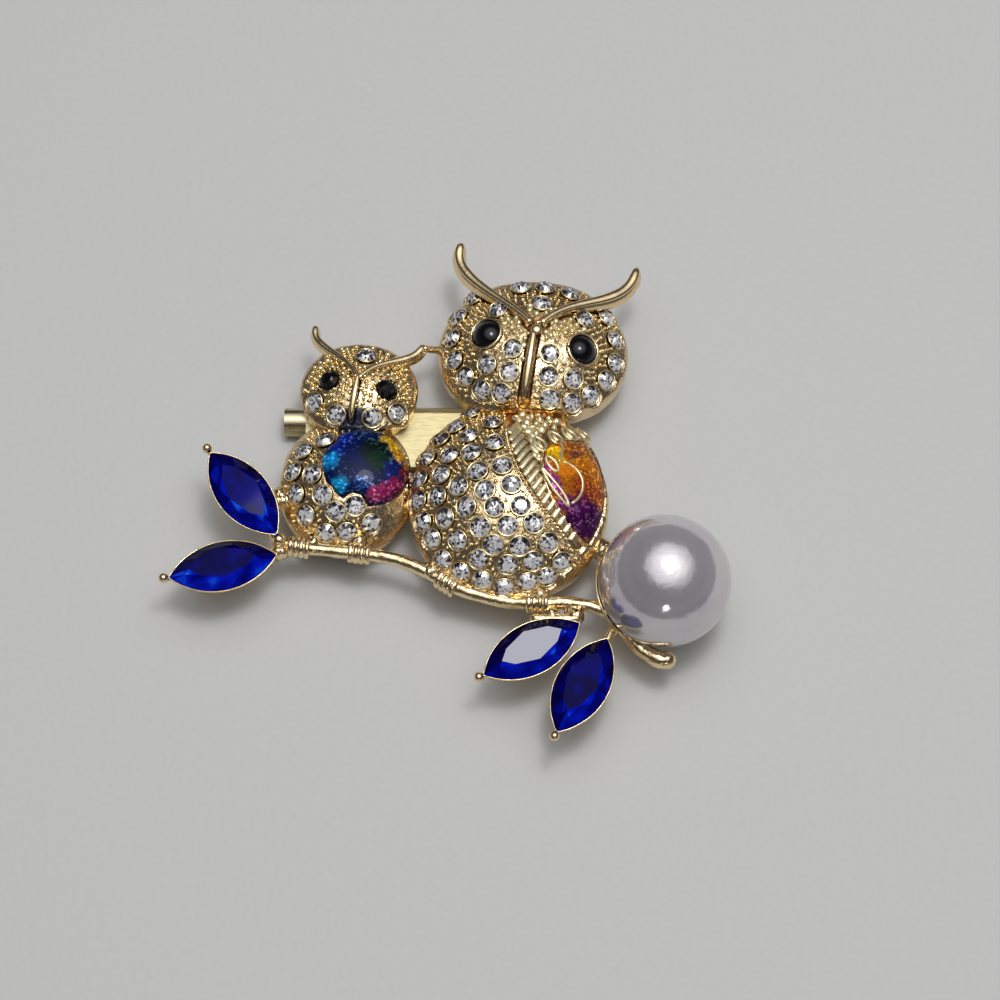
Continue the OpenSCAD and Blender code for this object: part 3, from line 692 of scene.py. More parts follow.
def head_relief(dome, flat, near, horns, beak_groove, brow_groove, lowest, eyes, bed):
    """Heights, and where grains may lie, with low ground beside the beak and below the horns"""
    lines = [(0.6, beak_groove, [FACE_WAY * dome.half_w * share for share in BEAK])]
    lines += [(0.5, brow_groove, horn_path(dome, controls, 12)[:, :2] - dome.middle) for controls in horns]
    ground = np.min([-deep * (1 - smooth(to_line(flat, line), wide, wide + 0.25))
                     for deep, wide, line in lines], axis=0)
    height = np.minimum(pave(near), np.where(near < RIM_AT + RIM_HALF, 9, ground))
    grain = (near > 1.25) * (ground > lowest)
    for axis in eyes:
        off = length(flat - (axis * dome.curve)[:2])
        for radius, level in (bed.collar, bed.seat):
            height = np.where(off < radius, level, height)
        grain = grain * (off > bed.clear)
    return height, grain


def large_head_relief(flat, near):
    height, grain = head_relief(LARGE_HEAD, flat, near, LARGE_HORNS, 0.6, 0.62, -0.2, LARGE_EYES,
                                LARGE_EYE_BED)
    face = np.hypot(flat[:, 0] * FACE_SQUEEZE, flat[:, 1] + FACE_DROP) < FACE_R
    amber = smooth(-flat[:, 1], 6.4, 7.0) * smooth(3.6 - np.abs(flat[:, 0] + 0.6), 0, 0.6)
    return height, {"grain": grain * ~face, "nugget": grain * face, "amber": amber}


def small_head_relief(flat, near):
    height, grain = head_relief(SMALL_HEAD, flat, near, SMALL_HORNS, 0.3, 0.26, -0.35, SMALL_EYES,
                                SMALL_EYE_BED)
    chin = smooth(-flat[:, 1], 2.9, 3.3) * smooth(1.9 - np.abs(flat[:, 0] + 0.3), 0, 0.3) * (near > 1.1)
    return height, {"grain": grain * (chin < 0.5), "navy": chin}


large_head = casting("large_head", LARGE_HEAD, head_circles(LARGE_HEAD), large_head_relief, 180)
small_head = casting("small_head", SMALL_HEAD, head_circles(SMALL_HEAD), small_head_relief, 120)

# %% [markdown]
# ## The small body
# One round bed takes most of the small body's front. The bed goes round the stones at its edge and ends
# below the head, exactly as its enamel does.

# %% The small body
SMALL_WING_AT, SMALL_WING_R = np.array([0.3, 0.11]) * SMALL_R, 0.63 * SMALL_R
STONE_WALL = 0.35


def small_wing_inside(flat):
    """How far inside the small wing's enamel a place lies"""
    edges = [SMALL_WING_R - length(flat - SMALL_WING_AT)]
    for spot in SPOTS["small_body_stones"][0]:
        edges.append(length(flat - (spot[:2] - SMALL_BODY.middle)) - SEAT_R - STONE_WALL)
    for middle, radius in head_circles(SMALL_HEAD):
        edges.append(length(flat - (SMALL_HEAD.middle - SMALL_BODY.middle + middle)) - radius)
    return np.min(edges, axis=0)


def small_body_relief(flat, near):
    inside = small_wing_inside(flat)
    low_right = (flat[:, 1] < -2.5) * (flat[:, 0] > 2.5)
    return np.where(inside > 0, BED, pave(near)), {"grain": (near > 1.3) * (inside < -0.3) * ~low_right}


small_body = casting("small_body", SMALL_BODY, body_circles(SMALL_BODY), small_body_relief, 130)

# %% [markdown]
# ## Gold grains
# The founder's texture between the stones is a scatter of tiny beads. Geometry Nodes place them: points
# at least a spacing apart, only where the casting's grain attribute allows, each with a low-sided ball of
# its own size. The recess mark is dropped, or the beads would take the painted shade of the ground below
# them.
# The seed is fixed, so the grains lie the same way every time. Larger nuggets crowd the large owl's
# shoulder and face, by the same tree on another attribute.

# %% A Geometry Nodes helper
class Tree(Graph):
    def __init__(self, name, **inputs):
        super().__init__(bpy.data.node_groups.new(name, "GeometryNodeTree"))
        panel = self.tree.interface
        for label, kind in {"Geometry": "Geometry", **inputs}.items():
            panel.new_socket(label, in_out="INPUT", socket_type="NodeSocket" + kind)
        panel.new_socket("Geometry", in_out="OUTPUT", socket_type="NodeSocketGeometry")
        self.start = self.tree.nodes.new("NodeGroupInput")

    def given(self, label):
        return Wire(self, self.start.outputs[label])

    def close(self, solid):
        done = self.add("GeometryNodeSetMaterial", {"Geometry": solid, "Material": self.given("Material")})
        end = self.tree.nodes.new("NodeGroupOutput")
        self.tree.links.new(done.socket, end.inputs[0])
        return self


def grow(name, tree, mesh, slot="gold_casting", stands_for=("frame",), **inputs):
    """Runs a tree on a mesh and keeps the result as a plain mesh"""
    thing = new_thing(name, mesh)
    growth = thing.modifiers.new("growth", "NODES")
    growth.node_group = tree.tree
    for item in tree.tree.interface.items_tree:
        if item.in_out == "INPUT" and item.name in inputs:
            growth[item.identifier] = inputs[item.name]
    made = bpy.data.meshes.new_from_object(thing.evaluated_get(bpy.context.evaluated_depsgraph_get()))
    thing.modifiers.clear()
    thing.data = made
    print(name, len(made.polygons), "faces")
    return declare(thing, stands_for)


def grain_tree():
    tree = Tree("grains", Where="String", Spacing="Float", Radius="Float", Seed="Int", Material="Material")
    seed, radius = tree.given("Seed"), tree.given("Radius")
    mask = tree.add("GeometryNodeInputNamedAttribute", {"Name": tree.given("Where")}, data_type="FLOAT")
    spread = {"Mesh": tree.given("Geometry"), "Distance Min": tree.given("Spacing"), "Density Max": 2.0e7,
              "Density Factor": mask, "Seed": seed}
    spots = tree.add("GeometryNodeDistributePointsOnFaces", spread, distribute_method="POISSON")
    ball = tree.add("GeometryNodeMeshUVSphere", {"Segments": 8, "Rings": 5, "Radius": radius})
    size = tree.add("FunctionNodeRandomValue", {0: (0.65, 0.65, 0.65), 1: (1.3, 1.3, 1.3), "Seed": seed},
                    data_type="FLOAT_VECTOR")
    out = Wire(tree, spots.socket.node.outputs["Normal"])
    # Dropping the recess mark keeps the ground's painted shade off the beads
    spots = tree.add("GeometryNodeRemoveAttribute", {"Geometry": spots, "Name": "recess"})
    lift = tree.add("ShaderNodeVectorMath", {0: out, "Scale": radius * 0.45}, operation="SCALE")
    proud = tree.add("GeometryNodeSetPosition", {"Geometry": spots, "Offset": lift})
    crowd = tree.add("GeometryNodeInstanceOnPoints", {"Points": proud, "Instance": ball, "Scale": size})
    solid = tree.add("GeometryNodeRealizeInstances", {"Geometry": crowd})
    return tree.close(tree.add("GeometryNodeSetShadeSmooth", {"Geometry": solid}))


GRAINS = grain_tree()
# Where they lie, at what spacing and of what radius
GRAIN_SIZES = [(large_body, "grain", 0.55, 0.2), (large_head, "grain", 0.6, 0.22),
               (large_head, "nugget", 0.6, 0.34), (small_body, "grain", 0.55, 0.2),
               (small_head, "grain", 0.56, 0.3), (large_body, "nugget", 0.86, 0.52)]
for seed, (cast, mark, spacing, radius) in enumerate(GRAIN_SIZES, start=3):
    grow(f"{cast.name}_{mark}s", GRAINS, cast.data.copy(), Where=mark, Spacing=spacing * MM,
         Radius=radius * MM, Seed=seed, Material=SATIN if mark == "nugget" else GRAIN_GOLD)

# %% [markdown]
# ## Horns, brows and beaks
# From the forehead each brow sweeps up and out into a horn. On the casting it is a flat bright crest that
# falls away in a broad flank, with a dark crease between them. A beak is a flat ridge between two grooves.

# %% Faces
HORN_TAPER = ([0, 0.3, 0.65, 0.9, 0.95, 0.985, 1], [0.6, 0.75, 1, 0.95, 0.85, 0.55, 0.15])
BEAK_TAPER = ([0, 0.5, 0.85, 1], [0.6, 1, 0.8, 0.25])
HORN_STEPS, BEAK_STEPS = 40, 24
BROW_BALL_R, EYE_RIM_UP, EYE_WIRE = 0.62, 0.16, 0.16


def horn(dome, controls, radius):
    path = horn_path(dome, controls, HORN_STEPS)
    size = radius * np.interp(np.linspace(0, 1, HORN_STEPS), *HORN_TAPER)
    up = np.column_stack([np.zeros((HORN_STEPS, 2)), size])
    flank = swept(path - up * 0.7, size, size * 1.2, 24, ridge=0.3)
    return joined([swept(path + up * 0.85, size * 0.68, size * 0.4), flank])


def beak(dome, radius):
    flat = np.outer(np.linspace(*BEAK, BEAK_STEPS), FACE_WAY * dome.half_w)
    size = radius * np.interp(np.linspace(0, 1, BEAK_STEPS), *BEAK_TAPER)
    crest = swept(dome.on(flat, 0.3), size * 0.55, size * 0.35)
    return joined([crest, swept(dome.on(flat, -0.1), size * 0.35, size * 0.6)])


def ball(at, radius, axis=(0, 0, 1), squash=1.0):
    return turned([(r, h * squash) for r, h in arc(0, radius, 0, 180, 13)], at, axis, 24)


def eye_rim(axis):
    """A thin rounded ring round one of the large owl's eyes"""
    side = np.cross(axis, [0, 1, 0]) / np.linalg.norm(np.cross(axis, [0, 1, 0]))
    ring = rays(around(41, closed=True)) @ [side, np.cross(axis, side)]
    middle = LARGE_HEAD.centre + axis * (LARGE_HEAD.curve + EYE_RIM_UP)
    return swept(middle + ring * (EYE_R + EYE_RIM / 2 + 0.02), EYE_WIRE, sides=12)


brow_balls = [ball(LARGE_HEAD.on((0.3, 0.4))[0] + [0, 0, 0.4], BROW_BALL_R, squash=0.5),
              ball(LARGE_HEAD.on((0.45, 1.35))[0] + [0, 0, 0.1], BROW_BALL_R * 0.6)]
piece("large_face", joined([*(horn(LARGE_HEAD, c, 0.8) for c in LARGE_HORNS), beak(LARGE_HEAD, 0.78),
                            *brow_balls, *(eye_rim(axis) for axis in LARGE_EYES)]), GOLD)
piece("small_face", joined([*(horn(SMALL_HEAD, c, 0.58) for c in SMALL_HORNS), beak(SMALL_HEAD, 0.66)]), GOLD)
print("faces made")

# %% [markdown]
# ## The branch
# One polished rod runs below both bodies and under the pearl, and ends in a fat round curl. Its route is
# the one in the solids. Ringed knots sit on it where the owls hold on, and hammered lumps hide the posts
# that join it to the bodies.

# %% The rod
BRANCH_R, BRANCH_Z, BRANCH_STEPS = 0.7, 5.2, 160
BRANCH_TAPER = ([0, 0.84, 0.95, 1], [1, 1, 1.3, 1.45])
SMALL_LOW = SMALL_BODY.middle[1] - SMALL_R - 0.9
LARGE_LOW = BODY_AT[1] - LARGE_R - 1.4
# Each run of the branch: where it is measured from, its scale and its points
RUNS = [((SMALL_BODY.middle[0], SMALL_LOW), SMALL_R,
         [[-0.97, 0.11, 0], [-0.67, 0.04, 0], [-0.31, 0, 0], [0.22, -0.06, 0], [0.58, -0.11, 0]]),
        ((BODY_AT[0], LARGE_LOW), LARGE_R,
         [[-0.99, 0.42, 0], [-0.69, 0.26, 0], [-0.54, 0.17, 0], [-0.29, 0.08, 0], [0.01, 0.01, 0],
          [0.28, 0, 0], [0.60, 0, 0]]),
        (PEARL_AT[:2], PEARL_R,
         [[-0.96, -0.31, 0], [-0.70, -0.50, -0.03], [-0.49, -0.79, -0.06], [-0.30, -0.97, -0.06],
          [-0.07, -1.10, -0.06], [0.09, -1.09, -0.06]])]
ROUTE = np.concatenate([np.array([*at, BRANCH_Z]) + np.array(points) * scale for at, scale, points in RUNS])


def route_point(t):
    """A place on the smooth curve through the route's points"""
    last = len(ROUTE) - 1
    i = min(int(t), last - 1)
    u = t - i
    a, b, c, e = ROUTE[max(i - 1, 0)], ROUTE[i], ROUTE[i + 1], ROUTE[min(i + 2, last)]
    return 0.5 * (2 * b + (c - a) * u + (2 * a - 5 * b + 4 * c - e) * u * u
                  + (3 * b - a - 3 * c + e) * u ** 3)


rod = np.array([route_point(t) for t in np.linspace(0, len(ROUTE) - 1.5, BRANCH_STEPS)])
rod_size = BRANCH_R * np.interp(np.linspace(0, 1, BRANCH_STEPS), *BRANCH_TAPER)
rod_size *= 1 + 0.04 * np.sin(np.arange(BRANCH_STEPS) * 0.55)
curl_end = ball(rod[-1], float(rod_size[-1]), rod[-1] - rod[-2])
piece("branch", joined([swept(rod, rod_size, sides=24), curl_end]), HAMMERED)
print("branch length in mm:", round(float(length(np.diff(rod, axis=0)).sum()), 1))

# %% [markdown]
# ## Ringed knots
# Each of the four knots is a sleeve with four rings. A small tree stands one turned sleeve on every
# point and lines it up with the rod's direction there. The same tree sets the stones later.

# %% Knots
KNOTS = (1, 3, 6.5, 10)
KNOT_R, KNOT_L, GROOVE, KNOT_RINGS, KNOT_STEPS = 1.15, 2.4, 0.2, 4, 33
# Facets that face this way get a painted highlight: their tint is made lighter
LIT_SIDE = (0.15, -1.0, 0.1)


def standing_tree():
    """Stands a source shape on points, with its Z axis along their way attribute"""
    tree = Tree("standing_shapes", Shape="Object", Spin="Float", Seed="Int", Material="Material")
    seed = tree.given("Seed")
    way = tree.add("GeometryNodeInputNamedAttribute", {"Name": "way"}, data_type="FLOAT_VECTOR")
    turn = tree.add("FunctionNodeAlignRotationToVector", {"Vector": way}, axis="Z")
    angle = tree.add("FunctionNodeRandomValue", {2: 0.0, 3: tree.given("Spin"), "Seed": seed}, 1,
                     data_type="FLOAT")
    spin = tree.add("FunctionNodeAxisAngleToRotation", {"Axis": (0, 0, 1), "Angle": angle})
    turn = tree.add("FunctionNodeRotateRotation", {0: turn, 1: spin}, rotation_space="LOCAL")
    shape = tree.add("GeometryNodeObjectInfo", {"Object": tree.given("Shape")}, "Geometry")
    stood = tree.add("GeometryNodeInstanceOnPoints",
                     {"Points": tree.given("Geometry"), "Instance": shape, "Rotation": turn})
    solid = tree.add("GeometryNodeRealizeInstances", {"Geometry": stood})
    # Each facet's tint is painted sparkle: partly chance and partly a painted lighter side that faces
    # LIT_SIDE
    chance = tree.add("FunctionNodeRandomValue", {"Seed": seed}, 1, data_type="FLOAT")
    lower = tree.vector("DOT_PRODUCT", tree.add("GeometryNodeInputNormal"), LIT_SIDE, out="Value")
    return tree.close(tree.add(
        "GeometryNodeStoreNamedAttribute",
        {"Geometry": solid, "Name": "facet", "Value": chance + lower * 0.45 - 0.12},
        data_type="FLOAT", domain="FACE"))


STANDING = standing_tree()


def template(name, points, faces, part=None, smooth=True):
    """A source shape for the tree, removed once it has been used"""
    thing = new_thing(name, new_mesh(name, points, faces, smooth))
    if part is not None:
        set_marks(thing.data, {"part": part}, "FACE")
    return thing


def stand(name, shape, spots, ways, material, slot="gold_casting", stands_for=("frame",), spin=0.0, seed=1):
    """One copy of a template on each spot"""
    mesh = new_mesh(name, spots)
    set_marks(mesh, {"way": ways})
    return grow(name, STANDING, mesh, slot, stands_for, Shape=shape, Spin=spin, Seed=seed, Material=material)


knot_profile = [(0.3, -KNOT_L / 2)]
for share in np.linspace(0, 1, KNOT_STEPS):
    wave = abs(math.cos(math.pi * KNOT_RINGS * share - math.pi / 2)) ** 0.5
    knot_profile.append((KNOT_R - GROOVE * (1 - wave), KNOT_L * (share - 0.5)))
knot_profile.append((0.3, KNOT_L / 2))
sleeve = template("sleeve", *turned(knot_profile, (0, 0, 0), sides=24))
knot_ways = [route_point(t + 0.05) - route_point(t - 0.05) for t in KNOTS]
stand("knots", sleeve, [route_point(t) for t in KNOTS], knot_ways, HAMMERED)
bpy.data.objects.remove(sleeve)

# %% Where the leaves start
LEAF_L, LEAF_W, LEAF_H, LEAF_Z = 11.8, 5.8, 2.4, 6.5
LEAF_BALL_R, STALK_R = 0.545, 0.55
# The place along the branch, a shift in leaf widths, the direction and the rise in degrees
LEAVES = [(0, (-0.02, 0.07), 129.6, 8), (0, (0, -0.31), 193, 0),
          (11, (0.19, -0.45), 210, 0), (13, (-0.19, -0.4), 242.3, 0)]


def leaf_place(t, off, turn, rise):
    """A leaf's foot, and the directions of its length, width and height"""
    turn, rise = math.radians(turn), math.radians(rise)
    foot = np.array([*(route_point(t)[:2] + np.array(off) * LEAF_W), LEAF_Z])
    along = np.array([math.cos(turn) * math.cos(rise), math.sin(turn) * math.cos(rise), math.sin(rise)])
    side = np.array([-math.sin(turn), math.cos(turn), 0])
    return foot, np.array([along, side, np.cross(along, side)])


LEAF_PLACES = [leaf_place(*leaf) for leaf in LEAVES]
print("leaf feet in mm:", [foot.round(1).tolist() for foot, _ in LEAF_PLACES])

# %% Lumps over the posts
POST_LOW, POST_HIGH, POST_R = BACK_Z + 0.15, BACK_Z + 2.05, 0.95
small_x, body_x, body_y = SMALL_BODY.middle[0], *BODY_AT
third_x = LEAF_PLACES[2][0][0]
JOINT_X = small_x - 0.96 * SMALL_R
POSTS = [(small_x + 0.19 * SMALL_R, SMALL_LOW + 0.9), (small_x - 0.47 * SMALL_R, SMALL_LOW + 0.9),
         (body_x - 0.78 * LARGE_R, LARGE_LOW + 0.34 * LARGE_R), (body_x + 0.31 * LARGE_R, LARGE_LOW + 0.9),
         (body_x - 10.0, body_y + 0.17 * SMALL_R), (small_x - SMALL_R + 0.1, body_y + 0.04 * SMALL_R),
         (body_x + 10.0, body_y - 0.53 * LARGE_R),
         (PEARL_AT[0] - 0.9 * PEARL_R, PEARL_AT[1] + 0.61 * PEARL_R), (JOINT_X, SMALL_LOW - 0.1),
         (third_x - 0.53 * LEAF_W, LARGE_LOW - 1.4), (third_x - 0.09 * LEAF_W, LARGE_LOW - 1.4)]


def lump(at, seed):
    """A hammered nugget: a turned post with an uneven skin"""
    profile = [(POST_R * 0.6, POST_LOW), (POST_R, POST_LOW + 0.35),
               (POST_R * 1.05, (POST_LOW + POST_HIGH) / 2), (POST_R * 0.95, POST_HIGH - 0.4),
               (POST_R * 0.5, POST_HIGH), (0.0, POST_HIGH + 0.05)]
    points, faces = turned(profile, (*at, 0), sides=14)
    uneven = np.random.default_rng(seed).uniform(-0.14, 0.14, points.shape)
    return points + uneven * [1, 1, 0.5], faces


link_start = horn_path(SMALL_HEAD, SMALL_HORNS[1], 41)[38]
link_end = [*(LARGE_HEAD.middle + [0.5 - LARGE_HEAD.half_w, 0.11 * LARGE_HEAD.half_h]), BACK_Z + 0.8]
LINK_R = [0.45, 0.4, 0.42, 0.4, 0.5, 0.6]
BAR_R = 0.55 * np.array([0.7, 1.1, 0.9, 1.15, 0.95, 1.1, 0.9, 1.15, 0.95, 1.05, 0.7])
bar_ends = [[*(BODY_AT + [x, -13.9]), 5.5] for x in (2.2, 7.6)]
side_link_at = (*(BODY_AT + [-24.5, -0.3]), 5.3)
joints = [lump(at, seed) for seed, at in enumerate(POSTS)]
joints += [ball((JOINT_X, SMALL_LOW + 0.11 * SMALL_R, BRANCH_Z + 0.8), 0.75),
           swept(np.linspace(link_start, link_end, 6), LINK_R, sides=12),
           swept(np.linspace(*bar_ends, 11), BAR_R, sides=14),
           turned(0.75 * np.array(knot_profile), side_link_at, (1, 0.15, 0), 20)]
piece("joints", joined(joints), HAMMERED)
print("posts:", len(POSTS))

# %% [markdown]
# ## Leaf settings
# A leaf is a pointed oval between two arcs. Its setting is a low cup with a thin rounded rim, slightly
# notched where the setter pressed it against the stone, with a ball on a short neck at the tip.

# %% Bezels
ARC_R = (LEAF_L ** 2 / 4 + LEAF_W ** 2 / 4) / LEAF_W
LOOP, NOTCHES = 96, 9


def lens(inset, z, count=LOOP):
    """A loop round the pointed oval, drawn in by an inset"""
    half = math.sqrt((ARC_R - inset) ** 2 - (ARC_R - LEAF_W / 2) ** 2)
    turn = around(count)
    x = half * np.cos(turn)
    y = np.sqrt(np.clip((ARC_R - inset) ** 2 - x ** 2, 0, None)) - (ARC_R - LEAF_W / 2)
    return np.column_stack([x, np.where(np.sin(turn) >= 0, y, -y), np.full(count, z)])


def at_leaf(i, points):
    foot, axes = LEAF_PLACES[i]
    return foot + axes[0] * LEAF_L / 2 + np.asarray(points) @ axes


def bezel():
    notch = np.zeros((LOOP, 3))
    notch[:, 2] = 0.04 * np.clip(np.sin(around(LOOP) * NOTCHES) * 4 - 3, 0, 1)
    rings = [lens(0.7, -LEAF_H), lens(0.55, -LEAF_H + 0.2), lens(0.05, -0.35), lens(0, -0.22),
             lens(0.02, -0.15) - notch, lens(0.07, -0.1) - notch, lens(0.14, -0.12), lens(0.16, -0.3),
             lens(0.2, -0.9), lens(2.2, -0.95)]
    tip = LEAF_L / 2 + 0.8 * LEAF_BALL_R
    neck = turned([(0.3, 0), (0.26, 0.7), (0.3, 1.3)], (tip - 1.44, 0, -0.44), (1, 0, 0), 12)
    return joined([loft(rings), ball((tip, 0, 0), LEAF_BALL_R), neck])


for i, (foot, axes) in enumerate(LEAF_PLACES):
    points, faces = bezel()
    end = foot + axes[0] * 1.2
    end[2] = BRANCH_Z
    stalk = swept(np.linspace(route_point(LEAVES[i][0]), end, 4), STALK_R * np.array([1.0, 1.1, 0.95, 1.05]),
                  sides=14)
    piece(f"leaf_setting_{i + 1}", joined([(at_leaf(i, points), faces), stalk]), GOLD)
print("leaf settings made")

# %% [markdown]
# ## Cut stones
# A stone is cut from one outline: a table, star and kite facets, upper halves, a thin girdle and a point
# below. The facets stay flat, and each keeps a number for its kind, so that the finish can paint the table
# pale, the stars bright and the girdle dark, as painted light and shade. The sparkle inside a stone is
# painted
# as well: every facet gets a tint of its own when the stones are set, partly chance and partly the side it
# faces, a painted lighter lower side for light that falls in from above the heads and comes out there.

# %% One cut for every stone
TABLE, STAR, KITE, HALF, GIRDLE, BELOW = range(6)


def cut(outline, crown, depth, table=0.56, girdle=0.06):
    """A brilliant from an outline of 16 points, with each facet's kind"""
    outline = np.asarray(outline)
    even, odd = outline[0::2], outline[1::2]
    layers = [([[0, 0]], crown), (odd * table * 0.5, crown), (even * table, crown),
              (odd * (table + 1) / 2 * 0.93, crown * 0.62), (outline, 0.0), (outline, -girdle),
              (even * 0.45, -depth * 0.62), ([[0, 0]], -depth)]
    points = np.concatenate([np.column_stack([flat, np.full(len(flat), z)]) for flat, z in layers])
    c, t, s, g, u, b, tip = 1, 9, 17, 25, 41, 57, 65
    facets = []
    for i in range(8):
        n = (i + 1) % 8
        e0, o, e1 = 2 * i, 2 * i + 1, 2 * n
        facets += [((0, c + i, c + n), TABLE), ((c + i, t + n, c + n), TABLE), ((c + i, t + i, t + n), TABLE),
                   ((t + i, s + i, t + n), STAR), ((t + i, g + e0, s + i), KITE),
                   ((t + n, s + i, g + e1), KITE), ((s + i, g + e0, g + o), HALF),
                   ((s + i, g + o, g + e1), HALF),
                   ((g + e0, u + e0, u + o, g + o), GIRDLE), ((g + o, u + o, u + e1, g + e1), GIRDLE),
                   ((u + e0, b + i, u + o), BELOW), ((u + o, b + i, b + n), BELOW),
                   ((u + o, b + n, u + e1), BELOW), ((b + i, tip, b + n), BELOW)]
    return points, [face for face, _ in facets], [kind for _, kind in facets]


print("facets of one stone:", len(cut(rays(around(16)), 0.42, 0.66)[1]))

# %% Clear, blue and black glass
def facet_finish(name, tones, dark, rough, metal=0.35, coat=1.0, depth=0.0):
    """Glass coloured by painted sparkle from each facet's tint, with painted shade at the girdle"""
    paint = Paint(name)
    tint, part = paint.attribute("facet"), paint.attribute("part")
    # The table and stars are painted lighter, the girdle painted dark, and any noise adds painted blotches of
    # light
    tone = tint + (1 - part.between(0.2, 2.5)) * 0.16 - 0.08
    if depth:
        tone = tone + (paint.noise(420.0, 1.0).between(0.3, 0.7) - 0.5) * depth
    shade = paint.add("ShaderNodeValToRGB", {"Fac": tone}, stops=tones)
    shade = paint.mix(shade, dark, part.between(HALF - 0.4, GIRDLE) * 0.8)
    return paint.finish(Base_Color=shade, Metallic=metal, Roughness=rough, Coat_Weight=coat,
                        Coat_Roughness=0.03, Specular_IOR_Level=0.5 * coat)


# These ramps turn the painted sparkle into colour, from nearly black facets to white or pale ones
CLEAR = facet_finish("clear_stone", [
    (0.0, (0.012, 0.01, 0.012)), (0.28, (0.06, 0.052, 0.06)), (0.44, (0.27, 0.245, 0.275)),
    (0.56, (0.62, 0.59, 0.65)), (0.7, (1.0, 1.0, 1.0))], (0.03, 0.022, 0.02), 0.08)
# The blue ramp ends in pale lilac, the colour of the painted sky reflection on the tables
BLUE = facet_finish("blue_glass", [
    (0.0, (0.001, 0.0, 0.02)), (0.35, (0.0008, 0.0005, 0.075)), (0.55, (0.001, 0.002, 0.20)),
    (0.72, (0.002, 0.012, 0.60)), (0.82, (0.01, 0.14, 1.0)), (0.88, (0.30, 0.32, 0.50)),
    (1.0, (0.50, 0.50, 0.58))], (0.0005, 0.0008, 0.05), 0.05, metal=0.02, coat=0.06, depth=0.22)
BLACK_CUT = facet_finish("black_cut_glass", [
    (0.0, (0.002, 0.002, 0.002)), (0.7, (0.004, 0.004, 0.005)), (1.0, (0.025, 0.025, 0.03))],
    (0.002, 0.002, 0.002), 0.06, metal=0.0, coat=0.3)
print("glass:", CLEAR.name, BLUE.name, BLACK_CUT.name)

# %% Set the round stones
STONE_R, SMALL_EYE_R, CROWN, DEPTH = 1.04, 1.1, 0.42, 0.66
RING_SIDES, RING_TURNS = 8, 24
stone = template("stone", *cut(STONE_R * rays(around(16)), CROWN, DEPTH), smooth=False)
for seed, (node, (spots, axes)) in enumerate(SPOTS.items(), start=11):
    stand(node + "_cut", stone, spots, axes, CLEAR, "clear_stones", (node,), spin=math.pi / 4, seed=seed)

ring = [(RIM_AT + RIM_HALF * x, RIM_HALF * y) for x, y in rays(around(RING_SIDES))]
ring_points, ring_faces = turned(ring, (0, 0, -0.02), sides=RING_TURNS)
last = (RING_SIDES - 1) * RING_TURNS
# A ring has no ends, so its last loop joins its first instead of two lids
ring_faces = ring_faces[:-2] + [(last + i, last + (i + 1) % RING_TURNS, (i + 1) % RING_TURNS, i)
                                for i in range(RING_TURNS)]
rim_ring = template("rim_ring", ring_points, ring_faces)
all_spots, all_axes = (np.concatenate(found) for found in zip(*SPOTS.values()))
stand("stone_rims", rim_ring, all_spots, all_axes, GRAIN_GOLD)

eye_stone = template("eye_stone", *cut(SMALL_EYE_R * rays(around(16)), CROWN, DEPTH), smooth=False)
for seed, (side, axis) in enumerate(zip(SIDES, SMALL_EYES), start=21):
    spot = SMALL_HEAD.centre + axis * SMALL_HEAD.curve
    stand(f"small_eye_{side}_cut", eye_stone, [spot], [axis], BLACK_CUT, "black_glass",
          (f"small_eye_{side}",), spin=1.0, seed=seed)
for source in (stone, rim_ring, eye_stone):
    bpy.data.objects.remove(source)

# %% Set the leaf stones
LEAF_LAP, LEAF_CROWN, LEAF_SINK = 0.12, 1.1, 0.08
# How much painted sky reflection each leaf's table carries
LEAF_TABLES = (0.3, 0.28, 1.02, 0.26)
for i, painted_sky in enumerate(LEAF_TABLES):
    points, faces, part = cut(lens(LEAF_LAP, 0, 16)[:, :2], LEAF_CROWN, LEAF_H - 0.7, table=0.62)
    shape = (at_leaf(i, points - [0, 0, LEAF_SINK]), faces)
    made = piece(f"leaf_stone_{i + 1}_cut", shape, BLUE, (f"leaf_stone_{i + 1}",), smooth=False)
    # The side facets' tints are painted sparkle with a painted lighter side toward LIT_SIDE; each table's
    # tint is its painted sky reflection
    tints = np.random.default_rng(40 + i).uniform(0.0, 0.3, len(faces))
    facing = np.array([face.normal for face in made.data.polygons])
    sides = np.minimum(tints + 0.27 + facing @ LIT_SIDE * 0.5, 0.72)
    tints = np.where(np.array(part) == TABLE, painted_sky + tints * 0.2, sides)
    set_marks(made.data, {"part": part, "facet": tints}, "FACE")
print("leaf stones:", len(LEAF_TABLES))

# %% [markdown]
# ## The large owl's eyes
# Smooth black cabochons: a short cylinder under a low dome, turned about the head's own radius.

# %% Domed eyes
def black_finish():
    paint = Paint("black_glass")
    shade = paint.mix((0.001, 0.001, 0.0015), (0.004, 0.004, 0.007), paint.noise(900.0))
    return paint.finish(Base_Color=shade, Roughness=0.06, Coat_Weight=0.85, Coat_Roughness=0.02,
                        Specular_IOR_Level=0.05)


BLACK = black_finish()
EYE_LOW, EYE_SIDE, EYE_TOP, EYE_CAP = -0.52, 0.18, 0.98, 2.0
eye_profile = [(0.01, EYE_LOW), (EYE_R, EYE_LOW), (EYE_R, EYE_SIDE - 0.1),
               *arc(EYE_TOP - EYE_CAP, EYE_CAP, 180 - 53.1, 180, 14)]
for side, axis in zip(SIDES, LARGE_EYES):
    eye = turned(eye_profile, LARGE_HEAD.centre + axis * LARGE_HEAD.curve, axis, 48)
    piece(f"large_eye_{side}_dome", eye, BLACK, (f"large_eye_{side}",))
print("eyes turned")

# %% [markdown]
# ## Enamels
# The wings are filled with clear coloured resin that stands up in a glossy cushion over metal flecks.
# Each is a relief of its own: its outline comes from the same rule as the bed, drawn in by the clearance,
# and its top falls to the casting at the edge as a liquid does.

# %% The enamels' shape
ENAMEL_GAP, ENAMEL_FLOOR, MENISCUS, ENAMEL_CELLS = -0.06, -0.62, 1.1, 110


